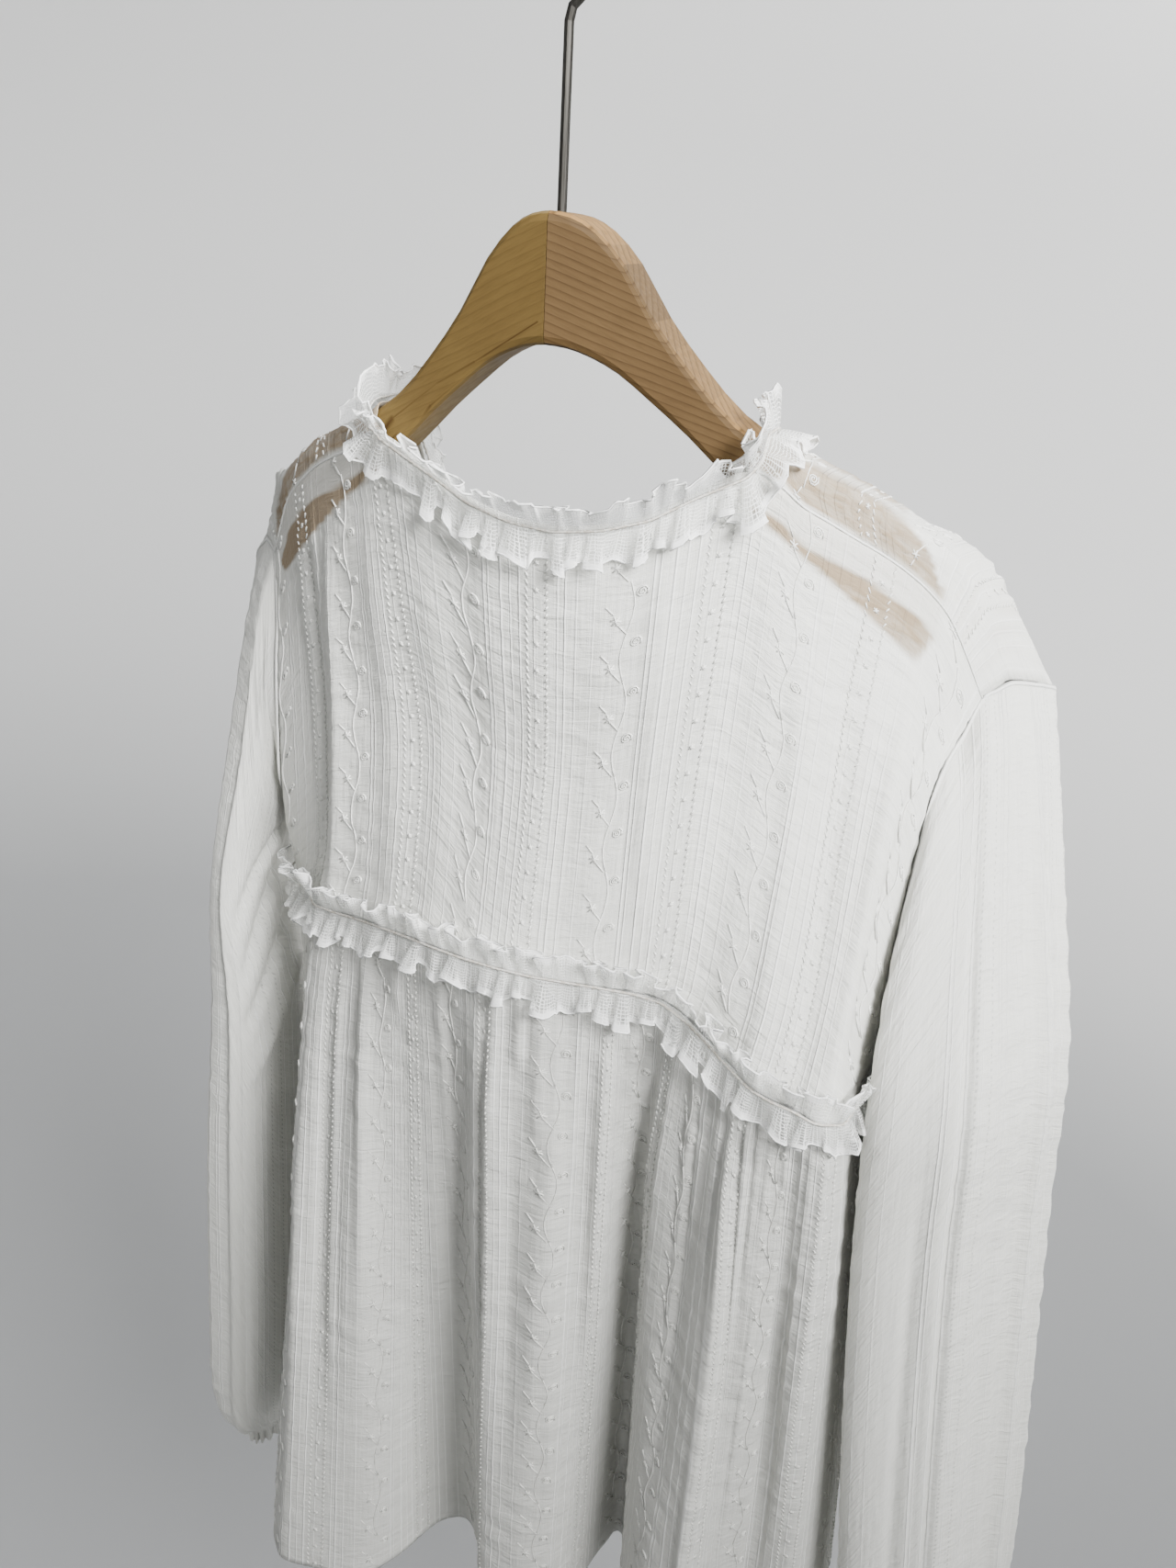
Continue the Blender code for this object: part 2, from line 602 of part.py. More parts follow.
back_bodice = back_bodice_grid()
front_bodice, neck_opening = front_bodice_grid(back_bodice[0])
back_waist = np.array([row[4] for row in BACK_BODICE], dtype=float)
front_waist = np.array([row[5] for row in FRONT_BODICE], dtype=float)
back_peplum = peplum_grid(back_waist, BACK_HEM)
front_peplum = peplum_grid(front_waist, FRONT_HEM)
cloth("back_bodice", back_bodice)
cloth("front_bodice", front_bodice, skip=neck_opening)
cloth("back_peplum", back_peplum)
cloth("front_peplum", front_peplum)

right_hole = armhole(back_bodice, front_bodice, COLUMNS, COLUMNS - 1, UNDERARM["right"])
left_hole = armhole(back_bodice, front_bodice, 0, 1, UNDERARM["left"])
cloth("sleeve_right", sleeve_grid(1, right_hole, RIGHT_OUTLINE, RIGHT_CORNERS, RIGHT_SLEEVE),
      closed=True)
cloth("sleeve_left", sleeve_grid(-1, left_hole, LEFT_OUTLINE, LEFT_CORNERS, LEFT_SLEEVE),
      closed=True)
neck_frill(back_bodice, front_bodice)
waist_frill(back_bodice, front_bodice, back_peplum, front_peplum)
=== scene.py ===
"""A sheer frill blouse on a contoured wooden hanger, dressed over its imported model.

Lengths in the tables are millimetres. Points are (across, away, up): across runs from
the hook's stem toward the wearer's right arm, away from the wood's back face toward the
wearer's front, and up from the top of the wood. placed() turns them into the frame.
"""
import math

import bpy
import numpy as np
from mathutils import Matrix, Vector


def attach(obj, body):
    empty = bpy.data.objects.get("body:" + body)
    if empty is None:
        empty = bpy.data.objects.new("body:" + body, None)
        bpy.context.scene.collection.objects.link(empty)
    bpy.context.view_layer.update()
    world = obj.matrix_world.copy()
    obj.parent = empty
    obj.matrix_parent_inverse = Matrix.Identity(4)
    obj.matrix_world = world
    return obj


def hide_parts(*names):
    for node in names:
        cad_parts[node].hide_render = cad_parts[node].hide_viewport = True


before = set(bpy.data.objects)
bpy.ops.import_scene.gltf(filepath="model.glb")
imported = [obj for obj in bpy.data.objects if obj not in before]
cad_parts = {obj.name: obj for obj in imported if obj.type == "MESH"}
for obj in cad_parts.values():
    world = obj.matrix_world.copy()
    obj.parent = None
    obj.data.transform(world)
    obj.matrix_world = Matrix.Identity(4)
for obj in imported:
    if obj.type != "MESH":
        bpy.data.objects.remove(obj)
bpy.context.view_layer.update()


# The studio. A pale grey seamless bowl stands in for the photo's plain wall: flat floor,
# rounded cove and upright wall, all round, so that every view has the same backdrop.
# The light is soft and comes mostly from the upper right of the photo's camera.
CAMERA_PLACE = (-0.1482, 0.5032, -0.12571)
CAMERA_RIGHT = (-0.9635, -0.2626, 0.0516)
CAMERA_UP = (0.1544, -0.3883, 0.9084)
CAMERA_BACK = (-0.2186, 0.8833, 0.4147)
CAMERA_LENS = 27.65
BOWL_FLOOR = -1.45
BOWL_RADIUS = 3.4
BOWL_COVE = 1.6
BOWL_WALL = 3.2
BOWL_SIDES = 96


def linear(code):
    """A hex sRGB colour as linear RGBA: c/12.92 below 0.04045, else ((c+0.055)/1.055)^2.4."""
    channels = [int(code[k:k + 2], 16) / 255 for k in (0, 2, 4)]
    return tuple(c / 12.92 if c < 0.04045 else ((c + 0.055) / 1.055) ** 2.4
                 for c in channels) + (1.0,)


def fill(tree, node, inputs):
    """Set a node's inputs to values, or link them to other nodes' outputs."""
    for name, value in inputs.items():
        if isinstance(value, bpy.types.NodeSocket):
            tree.links.new(value, node.inputs[name])
        else:
            node.inputs[name].default_value = value


def add(tree, kind, inputs, **settings):
    """Add a node to a tree, give its settings, and set or link its inputs."""
    made = tree.nodes.new(kind)
    for name, value in settings.items():
        setattr(made, name, value)
    fill(tree, made, inputs)
    return made


def ramp(tree, factor, stops):
    """A colour ramp over a factor; stops are (place, grey or RGBA)."""
    made = add(tree, "ShaderNodeValToRGB", {"Fac": factor})
    band = made.color_ramp
    while len(band.elements) > 1:
        band.elements.remove(band.elements[-1])
    for k, (place, colour) in enumerate(stops):
        stop = band.elements[0] if k == 0 else band.elements.new(place)
        stop.position = place
        stop.color = colour if isinstance(colour, tuple) else (colour, colour, colour, 1.0)
    return made.outputs["Color"]


def new_material(name):
    """A new material, its node tree and its Principled shader."""
    made = bpy.data.materials.new(name)
    made.use_nodes = True
    shader = made.node_tree.nodes["Principled BSDF"]
    return made, made.node_tree, shader


camera = bpy.data.objects.new("camera", bpy.data.cameras.new("camera"))
camera.data.lens = CAMERA_LENS
camera.data.sensor_width = 36.0
camera.data.clip_start = 0.02
axes = Matrix((CAMERA_RIGHT, CAMERA_UP, CAMERA_BACK)).transposed().to_4x4()
camera.matrix_world = Matrix.Translation(CAMERA_PLACE) @ axes
bpy.context.scene.collection.objects.link(camera)
bpy.context.scene.camera = camera

# Bowl profile: out along the floor, round the cove by a quarter turn, then up the wall
turn = np.linspace(0, math.pi / 2, 17)
bowl_out = np.concatenate([[0.0, BOWL_RADIUS - BOWL_COVE],
                           BOWL_RADIUS - BOWL_COVE + BOWL_COVE * np.sin(turn[1:]),
                           [BOWL_RADIUS]])
bowl_up = np.concatenate([[0, 0], BOWL_COVE * (1 - np.cos(turn[1:])), [BOWL_WALL]])
round_turn = np.linspace(0, 2 * math.pi, BOWL_SIDES, endpoint=False)
bowl_points = np.stack([bowl_out[:, None] * np.cos(round_turn),
                        bowl_out[:, None] * np.sin(round_turn),
                        BOWL_FLOOR + bowl_up[:, None] + 0 * round_turn], axis=-1)


def grid_faces(rows, columns, closed=False):
    """Quads of a rows x columns grid whose points are numbered along each row."""
    row, column = np.meshgrid(np.arange(rows - 1), np.arange(columns if closed else columns - 1),
                              indexing="ij")
    beside = (column + 1) % columns
    return np.stack([row * columns + column, (row + 1) * columns + column,
                     (row + 1) * columns + beside, row * columns + beside], axis=-1)


def mesh_piece(name, points, faces, paint, ends=()):
    """A new smooth object at the origin from points in metres, quads and any end triangles."""
    mesh = bpy.data.meshes.new(name)
    faces = faces.reshape(-1, 4).tolist() + [list(end) for end in ends]
    mesh.from_pydata(points.reshape(-1, 3).tolist(), [], faces)
    mesh.polygons.foreach_set("use_smooth", np.full(len(mesh.polygons), True))
    mesh.materials.append(paint)
    made = bpy.data.objects.new(name, mesh)
    bpy.context.scene.collection.objects.link(made)
    return made


shaded_wall_paint, tree, shader = new_material("matt_wall_with_painted_shade")
# Painted shade: the bowl is darker in the middle of the floor, lighter out toward the wall, and a
# little darker toward +x
place = add(tree, "ShaderNodeTexCoord", {}).outputs["Object"]
level = add(tree, "ShaderNodeVectorMath", {0: place, 1: (0.2, 0.2, 0.0)},
            operation="MULTIPLY").outputs[0]
out = add(tree, "ShaderNodeVectorMath", {0: level}, operation="LENGTH").outputs["Value"]
side = add(tree, "ShaderNodeSeparateXYZ", {"Vector": place}).outputs["X"]
out = add(tree, "ShaderNodeMath", {0: side, 1: -0.07, 2: out},
          operation="MULTIPLY_ADD").outputs[0]
tone = ramp(tree, out, [(0.05, linear("9A9B9C")), (0.3, linear("A2A3A4")),
                        (0.6, linear("E4E4E3")), (0.85, linear("FAFAF9"))])
fill(tree, shader, {"Base Color": tone, "Roughness": 0.95, "Specular IOR Level": 0.1})
mesh_piece("studio_bowl", bowl_points, grid_faces(len(bowl_out), BOWL_SIDES, True),
                    shaded_wall_paint)


def soft_light(name, place, aim, size, power, spread=180.0):
    """A square area light at a place, turned to shine at its aim, spread in degrees."""
    lamp = bpy.data.lights.new(name, "AREA")
    lamp.size = size
    lamp.energy = power
    lamp.spread = math.radians(spread)
    made = bpy.data.objects.new(name, lamp)
    turned = (Vector(place) - Vector(aim)).to_track_quat("Z", "Y")
    made.matrix_world = Matrix.Translation(place) @ turned.to_matrix().to_4x4()
    bpy.context.scene.collection.objects.link(made)


soft_light("window", (-1.0, 0.75, 0.62), (-0.1, 0.0, 0.20), 0.8, 31.0, 84.0)
soft_light("room", (1.5, 1.8, 0.9), (0.0, 0.0, -0.4), 2.0, 6.0)
soft_light("far_room", (-1.3, -1.9, 1.7), (-0.9, -2.9, 0.1), 2.0, 122.0)
world = bpy.data.worlds.new("room_light")
world.use_nodes = True
fill(world.node_tree, world.node_tree.nodes["Background"],
     {"Color": linear("E6E8EA"), "Strength": 0.52})
bpy.context.scene.world = world


# The hanger's two halves: solid hardwood, bandsawn to a curve, mitred and glued at the
# middle, sanded and left satin. Each half is its own board, so colour and grain differ.
# The grain is cut through at a slant, which gives long lines along each arm.
WOOD_DEPTH = 38.4
ARM_SLOPE = math.tan(math.radians(19.6))
STRAIGHT_REACH = 85.0
ARM_CURVE = 0.0042
ARM_OUTLINE = np.array([
    (0, 0.0, -48.6), (8, -1.2, -49.6), (17, -6.0, -52.6), (28, -17.5, -58.4),
    (41, -38.0, -68.6), (57, -57.6, -82.0), (75, -75.8, -99.0), (99, -91.0, -119.0),
    (118, -100.0, -135.0), (138, -111.0, -153.0), (157, -128.0, -171.0),
    (164, -139.0, -176.0), (169, -151.0, -169.0)])
ARM_RINGS = 25
HOOK_RISE = 67.0 + 22.0 * (1 + math.sqrt(2)) - 2.0
GRAIN_LEFT = math.tan(math.radians(28.0))
GRAIN_RIGHT = math.tan(math.radians(24.0))


def placed(points):
    """Table points (across, away, up) in mm as frame points in metres."""
    across, away, up = np.moveaxis(np.asarray(points, dtype=float), -1, 0)
    return np.stack([-across, WOOD_DEPTH / 2 - away, up - HOOK_RISE], axis=-1) / 1000


def streak(tree, place, start, end, half):
    """1 on the straight line from start to end (mm), falling to 0 at half mm beside it."""
    first, last = placed([start, end])
    way = last - first
    toward = add(tree, "ShaderNodeVectorMath", {0: place, 1: tuple(first)},
                 operation="SUBTRACT").outputs[0]
    passed = add(tree, "ShaderNodeVectorMath", {0: toward, 1: tuple(way / (way @ way))},
                 operation="DOT_PRODUCT").outputs["Value"]
    share = add(tree, "ShaderNodeMath", {0: passed, 1: 1.0}, operation="MULTIPLY",
                use_clamp=True).outputs[0]
    foot = add(tree, "ShaderNodeVectorMath", {0: tuple(way), "Scale": share},
               operation="SCALE").outputs[0]
    apart = add(tree, "ShaderNodeVectorMath", {0: toward, 1: foot}, operation="DISTANCE"
                ).outputs["Value"]
    return add(tree, "ShaderNodeMath", {0: apart, 1: -1000.0 / half, 2: 1.0},
               operation="MULTIPLY_ADD", use_clamp=True).outputs[0]


def wood_material(name, pale, dark, line, top, lean, spacing, turn_share, strength, marks=()):
    """Growth lines: bands of z + lean * x + turn_share * y, bent by noise, over fine fibres.

    spacing is the bands' pitch in mm. top is a painted-light colour for the faces that look
    up, lighter where the light falls on them from above. marks are dark checks and knots:
    each a start, end and half width.
    """
    paint, tree, shader = new_material(name)
    place = add(tree, "ShaderNodeTexCoord", {}).outputs["Object"]
    parts = add(tree, "ShaderNodeSeparateXYZ", {"Vector": place}).outputs
    bend = add(tree, "ShaderNodeTexNoise", {"Vector": place, "Scale": 9.0, "Detail": 1.0,
                                            "Roughness": 0.4}).outputs["Fac"]
    sums = [parts["Z"]]
    for part, share in ((parts["X"], lean), (parts["Y"], turn_share), (bend, 0.012)):
        sums.append(add(tree, "ShaderNodeMath", {0: part, 1: share, 2: sums[-1]},
                        operation="MULTIPLY_ADD").outputs[0])
    slanted, bent = sums[1], sums[3]
    rings = add(tree, "ShaderNodeMath", {0: bent, 1: 1000.0 / spacing},
                operation="MULTIPLY").outputs[0]
    saw = add(tree, "ShaderNodeMath", {0: rings}, operation="FRACT").outputs[0]
    growth = ramp(tree, saw, [(0.0, 0.0), (0.55, 0.10), (0.8, 0.45), (0.9, 1.0), (0.97, 0.2),
                              (1.0, 0.0)])
    # Fibres: noise drawn out along the slanted lines, about 0.5 mm across them
    stretched = {axis: add(tree, "ShaderNodeMath", {0: part, 1: scale},
                           operation="MULTIPLY").outputs[0]
                 for axis, part, scale in (("X", parts["X"], 22.0), ("Y", parts["Y"], 300.0),
                                           ("Z", slanted, 900.0))}
    lie = add(tree, "ShaderNodeCombineXYZ", stretched).outputs[0]
    fibre = add(tree, "ShaderNodeTexNoise", {"Vector": lie, "Scale": 1.0, "Detail": 3.0,
                                             "Roughness": 0.6}).outputs["Fac"]
    patch = add(tree, "ShaderNodeTexNoise", {"Vector": place, "Scale": 30.0, "Detail": 1.0}
                ).outputs["Fac"]
    board = add(tree, "ShaderNodeMix", {"Factor": patch, "A": linear(pale), "B": linear(dark)},
                data_type="RGBA")
    # Painted light: faces that look up are mixed toward the lighter top colour
    normal = add(tree, "ShaderNodeNewGeometry", {}).outputs["Normal"]
    upward = add(tree, "ShaderNodeSeparateXYZ", {"Vector": normal}).outputs["Z"]
    board_with_lit_top = add(tree, "ShaderNodeMix", {"Factor": ramp(tree, upward, [(0.5, 0.0), (0.8, 0.9)]),
                                         "A": board.outputs["Result"], "B": linear(top)},
                 data_type="RGBA")
    shown = add(tree, "ShaderNodeMath", {0: growth, 1: strength}, operation="MULTIPLY").outputs[0]
    for start, end, half in marks:
        shown = add(tree, "ShaderNodeMath", {0: shown, 1: streak(tree, place, start, end, half)},
                    operation="MAXIMUM").outputs[0]
    lined = add(tree, "ShaderNodeMix", {"Factor": shown, "A": board_with_lit_top.outputs["Result"],
                                        "B": linear(line)}, data_type="RGBA")
    tone = ramp(tree, fibre, [(0.3, 0.90), (0.5, 1.0), (0.7, 1.05)])
    toned = add(tree, "ShaderNodeMix", {"Factor": 1.0, "A": lined.outputs["Result"], "B": tone},
                data_type="RGBA", blend_type="MULTIPLY")
    height = add(tree, "ShaderNodeMath", {0: growth, 1: 0.5, 2: fibre},
                 operation="MULTIPLY_ADD").outputs[0]
    relief = add(tree, "ShaderNodeBump", {"Height": height, "Strength": 0.2,
                                          "Distance": 0.0003})
    fill(tree, shader, {"Base Color": toned.outputs["Result"],
                        "Normal": relief.outputs["Normal"], "Specular IOR Level": 0.07,
                        "Roughness": ramp(tree, fibre, [(0.3, 0.66), (0.7, 0.54)])})
    return paint


# Checks and a small knot in the left half, as start, end and half width
LEFT_CHECKS = [
    ((-3, 1, -40), (-33, 12, -58), 0.5), ((-33, 12, -58), (-52, 19, -68.5), 0.7),
    ((-33, 12, -60.6), (-56, 20, -78.3), 0.6), ((-56, 20, -78.3), (-72, 26, -98), 0.9),
    ((-52, 19, -68.5), (-78, 28, -87), 0.6), ((-77, 28, -86.5), (-82, 29, -92), 2.2),
    ((-84, 30, -93), (-90, 33, -101), 0.9), ((-74, 27, -92), (-79, 28, -97), 0.8)]
# The fourth colour of each half is painted light, for the faces that look up
left_wood = wood_material("satin_beech_left", "735F37", "64502E", "402C17", "7E6A42",
                          GRAIN_LEFT, 4.0, 0.12, 0.25, LEFT_CHECKS)
right_wood = wood_material("satin_pine_right", "4F3E27", "463621", "2E2010", "84663E",
                           -GRAIN_RIGHT, 3.2, 0.3, 0.7)
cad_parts["hanger_left"].material_slots[0].material = left_wood
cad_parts["hanger_right"].material_slots[0].material = right_wood


# The hook: one length of 4 mm round steel wire, drawn, bent and plated, then dulled by
# the rails it has hung on. Satin metal with faint lines along the wire.
steel, tree, shader = new_material("satin_plated_steel")
place = add(tree, "ShaderNodeTexCoord", {}).outputs["Object"]
lie = add(tree, "ShaderNodeMapping", {"Vector": place, "Scale": (1500.0, 1500.0, 40.0)})
scuff = add(tree, "ShaderNodeTexNoise", {"Vector": lie.outputs[0], "Scale": 1.0, "Detail": 2.0}
            ).outputs["Fac"]
tone = ramp(tree, scuff, [(0.3, linear("3A3936")), (0.7, linear("504E4A"))])
fill(tree, shader, {"Base Color": tone, "Metallic": 1.0,
                    "Roughness": ramp(tree, scuff, [(0.3, 0.3), (0.7, 0.46)])})
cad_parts["hook"].material_slots[0].material = steel


# The back bodice: one panel of sheer crinkled cotton voile with woven stripes: pairs of
# picot rows with dots between them, fine raised lines, and embroidered vines of spiral
# flowers. It is sewn to the front along the shoulders and hangs over the wood's back.
WOOD_GAP = 1.8
UNDER_WOOD = 8.0
CLOTH_REACH = 179.0
UPPER_SAG = 0.4
COLUMNS = 28
BACK_ROWS = 11
FINER = 6
FINE_COLUMNS = FINER * COLUMNS + 1
FINE_BACK_ROWS = 97
CHEST_LEVEL = -240.0
UNDER_LEVEL = -315.0
SHELL = 0.5
DOUBLED_BAND = 14.5
STRIPE = 73.0
PICOT_PAIR = 9.0
PICOT = 3.4
VINE_PLACE = 45.0
VINE_PERIOD = 46.0
CROSS_PITCH = 12.5
BACK_MEASURED_ROW = 40
BACK_FIRST_COLUMN = 80
BACK_WIDTH = 400.0
BACK_FOLD_SCALE = 1.5
BACK_CRINKLE = 0.17
DOUBLED_HIGH = 0.35
SHOW_FADE = 26.0
BACK_BODICE = [
    ((-174, 92, -172), (-168, 76), (-170, 78), (-174, 96, -366)),
    ((-156, 76, -140), (-150, 68), (-150, 67), (-156, 74, -362)),
    ((-137, 59, -123), (-129, 58), (-131, 57), (-139, 56, -356)),
    ((-122, 48, -113), (-121, 46), (-124, 42), (-129, 38, -351)),
    ((-101, 36, -103), (-95, 38), (-95, 28), (-98, 24, -345)),
    ((-80, 26, -93), (-62, 30), (-60, 14), (-60, 4, -337)),
    ((-36, 18, -115), (-28, 22), (-26, 0), (-25, -11, -333)),
    ((4, 13, -122), (7, 13), (8, -6), (10, -15, -333)),
    ((44, 17, -114), (42, 12), (44, -7), (45, -14, -332)),
    ((82, 27, -94), (77, 14), (77, -8), (74, -12, -334)),
    ((106, 36, -108), (106, 20), (104, -12), (100, -20, -347)),
    ((130, 52, -123), (129, 26), (127, -14), (122, -33, -357)),
    ((153, 71, -139), (149, 32), (147, -12), (142, -38, -360)),
    ((176, 90, -163), (167, 40), (161, -4), (161, -31, -368)),
    ((198, 100, -203), (180, 54), (174, 24), (177, 42, -379))]
# Folds: shares of the way across at the top and bottom, shares of the way down where
# they start and end, width and height in mm, and lean (0 even, 1 steep on the left)
BACK_FOLDS = [
    (0.215, 0.232, 0.06, 1.00, 5.0, 1.8, 0.6), (0.105, 0.120, 0.05, 0.85, 7.0, 1.6, 0.2),
    (0.160, 0.170, 0.02, 0.60, 4.0, 1.0, 0.0), (0.300, 0.330, 0.05, 1.00, 9.0, 1.2, 0.2),
    (0.385, 0.372, 0.02, 1.00, 8.0, 1.0, -0.2), (0.440, 0.440, 0.00, 0.70, 6.0, 0.8, 0.0),
    (0.512, 0.530, 0.10, 1.00, 9.0, -0.9, 0.0), (0.580, 0.600, 0.00, 0.80, 5.0, 1.0, 0.4),
    (0.660, 0.690, 0.05, 1.00, 10.0, -1.2, 0.0), (0.735, 0.775, 0.15, 1.00, 8.0, 1.4, 0.3),
    (0.800, 0.850, 0.10, 1.00, 9.0, -1.5, 0.0), (0.895, 0.905, 0.10, 1.00, 7.0, 1.5, 0.3),
    (0.955, 0.940, 0.15, 0.95, 5.0, -1.6, 0.0)]


def catmull_rom(before, left, right, after, t):
    """The cubic from left at t = 0 to right at t = 1, with slopes taken from its neighbours."""
    return 0.5 * (2 * left + (right - before) * t
                  + (2 * before - 5 * left + 4 * right - after) * t ** 2
                  + (3 * left - before - 3 * right + after) * t ** 3)


def smooth_through(rows, count):
    """A Catmull-Rom curve through rows, as count points evenly spread over them."""
    rows = np.asarray(rows, dtype=float)
    padded = np.concatenate([[2 * rows[0] - rows[1]], rows, [2 * rows[-1] - rows[-2]]])
    steps = np.linspace(0, len(rows) - 1, count)
    start = np.minimum(steps.astype(int), len(rows) - 2)
    t = (steps - start).reshape((-1,) + (1,) * (rows.ndim - 1))
    return catmull_rom(*(padded[start + k] for k in range(4)), t)


def finer(grid, rows, columns):
    """The smooth surface through a coarse grid, down its columns and then along its rows."""
    grid = smooth_through(grid, rows)
    return smooth_through(grid.transpose(1, 0, 2), columns).transpose(1, 0, 2)


ARM_SECTIONS = smooth_through(ARM_OUTLINE, ARM_RINGS)


def wood_back(across):
    """How far away the wood's back face is: a straight slope that curves past its reach."""
    reach = np.abs(across)
    return ARM_SLOPE * reach + ARM_CURVE * np.maximum(reach - STRAIGHT_REACH, 0) ** 2


def wood_top(across):
    """Height of the wood's top at an across position."""
    return np.interp(np.abs(across), ARM_SECTIONS[:, 0], ARM_SECTIONS[:, 1])


def wood_under(across):
    """Height of the wood's underside at an across position."""
    return np.interp(np.abs(across), ARM_SECTIONS[:, 0], ARM_SECTIONS[:, 2])


def clear_of_wood(grid, side):
    """Points beside the wood pushed out to its back (-1) or front (1) face."""
    across, away, up = grid[..., 0], grid[..., 1], grid[..., 2]
    beside = (up > wood_under(across) - UNDER_WOOD) & (np.abs(across) < CLOTH_REACH)
    if side < 0:
        pushed = np.minimum(away, wood_back(across) - WOOD_GAP)
    else:
        pushed = np.maximum(away, wood_back(across) + WOOD_DEPTH + WOOD_GAP)
    grid[..., 1] = np.where(beside, pushed, away)
    return grid


def normals_of(grid, closed=False):
    """Unit normals: the step down each column crossed with the step along each row."""
    down = np.gradient(grid, axis=0)
    if closed:
        along = np.roll(grid, -1, axis=1) - np.roll(grid, 1, axis=1)
    else:
        along = np.gradient(grid, axis=1)
    normal = np.cross(down, along)
    return normal / np.maximum(np.linalg.norm(normal, axis=-1, keepdims=True), 1e-9)


def ease(x):
    """0 below 0, 1 above 1, and 3x^2 - 2x^3 between."""
    x = np.clip(x, 0.0, 1.0)
    return x * x * (3 - 2 * x)


def fold_heights(across_share, down_share, width, table):
    """Sum of soft ridges: height * exp(-(x / its width)^2), faded in and out along each.

    x is the distance from the fold's line in mm, stretched on one side by its lean.
    """
    total = np.zeros(np.broadcast(across_share, down_share).shape)
    for first, last, start, end, wide, height, lean in table:
        part = np.clip((down_share - start) / (end - start), 0, 1)
        x = (across_share - (first + (last - first) * part)) * width / wide
        x = np.where(x < 0, x / (1.001 - lean), x / (1.001 + lean))
        fade = ease(part / 0.25) * (ease((1 - part) / 0.3) if end < 1.0 else 1.0)
        total = total + height * np.exp(-x ** 2) * fade
    return total


def crinkles(u, v, seed, long=26.0, short=7.0, waves=26):
    """Crumpled voile: a sum of sine waves, long across the cloth and short down it."""
    draw = np.random.default_rng(seed)
    total = np.zeros(np.broadcast(u, v).shape)
    for _ in range(waves):
        across = 2 * math.pi / (long * draw.uniform(0.7, 3.0)) * draw.choice([-1, 1])
        down = 2 * math.pi / (short * draw.uniform(0.8, 2.6))
        total = total + np.sin(across * u + down * v + draw.uniform(0, 2 * math.pi))
    return total / math.sqrt(waves / 2)


class Cloth:
    """A hung cloth: its grid in mm, unit normals, and flat measures in mm.

    across holds the flat distance of each column, and down that of each grid point.
    """

    def __init__(self, grid, level, facing, closed=False, left_out=None):
        self.closed = closed
        self.left_out = left_out
        self.normal = facing * normals_of(grid, closed)
        self.grid = grid
        row = grid[level]
        steps = np.linalg.norm(np.diff(row, axis=0, append=row[:1] if closed else row[-1:]), axis=1)
        self.across = np.concatenate([[0], np.cumsum(steps)])[:len(row) + (1 if closed else 0)]
        steps = np.linalg.norm(np.diff(grid, axis=0), axis=2)
        self.down = np.concatenate([np.zeros((1, grid.shape[1])), np.cumsum(steps, axis=0)])

    def raised(self, height):
        """Move every point out along its normal by a height in mm."""
        self.grid = self.grid + self.normal * np.asarray(height)[..., None]
        self.normal = np.sign(np.sum(self.normal * normals_of(self.grid, self.closed), axis=-1)
                              )[..., None] * normals_of(self.grid, self.closed)

    def onto(self, u, v):
        """Points and normals where flat places u, v lie, and which of them are on the cloth."""
        wrap = (lambda a: np.concatenate([a, a[:, :1]], axis=1)) if self.closed else (lambda a: a)
        grid, normal, down = wrap(self.grid), wrap(self.normal), wrap(self.down)
        column = np.interp(u, self.across, np.arange(len(self.across)))
        inside = (u >= 0) & (u <= self.across[-1])
        left = np.minimum(column.astype(int), grid.shape[1] - 2)
        beside = column - left
        profile = down[:, left] * (1 - beside) + down[:, left + 1] * beside
        row = np.clip(np.sum(profile < v[None], axis=0) - 1, 0, grid.shape[0] - 2)
        pick = np.arange(len(u))
        above, below = profile[row, pick], profile[row + 1, pick]
        under = (v - above) / np.maximum(below - above, 1e-9)
        inside &= (v >= 0) & (under <= 1.0)
        if self.left_out is not None:
            inside &= ~self.left_out[row, left]
        beside, under = beside[:, None], under[:, None]

        def blended(values):
            upper, lower = (values[k, left] * (1 - beside) + values[k, left + 1] * beside
                            for k in (row, row + 1))
            return upper * (1 - under) + lower * under

        return blended(grid), blended(normal), inside


def tint_share(grid):
    """How strongly the wood shows through: 1 in touch with it, fading with the gap.

    exp(-gap / SHOW_FADE) beside its back or front face, cut off softly past its outline.
    """
    across, away, up = grid[..., 0], grid[..., 1], grid[..., 2]
    near, far = wood_back(across), wood_back(across) + WOOD_DEPTH
    past = np.maximum(np.abs(across) - ARM_OUTLINE[-1, 0], 0)
    beside = np.maximum(np.maximum(near - away, away - far), 0)
    over = np.maximum(np.maximum(up - wood_top(across) - WOOD_GAP, wood_under(across) - up), 0)
    return np.exp(-np.maximum(beside - WOOD_GAP, 0) / SHOW_FADE) * ease(
        1 - over / (2.5 + 0.2 * beside)) * ease(1 - past / 5.0)


def face_corners(rows, columns):
    """Row and column numbers of the four corners of each quad of a grid."""
    row, column = np.meshgrid(np.arange(rows), np.arange(columns), indexing="ij")
    return [(row, column), (row + 1, column), (row + 1, column + 1), (row, column + 1)]


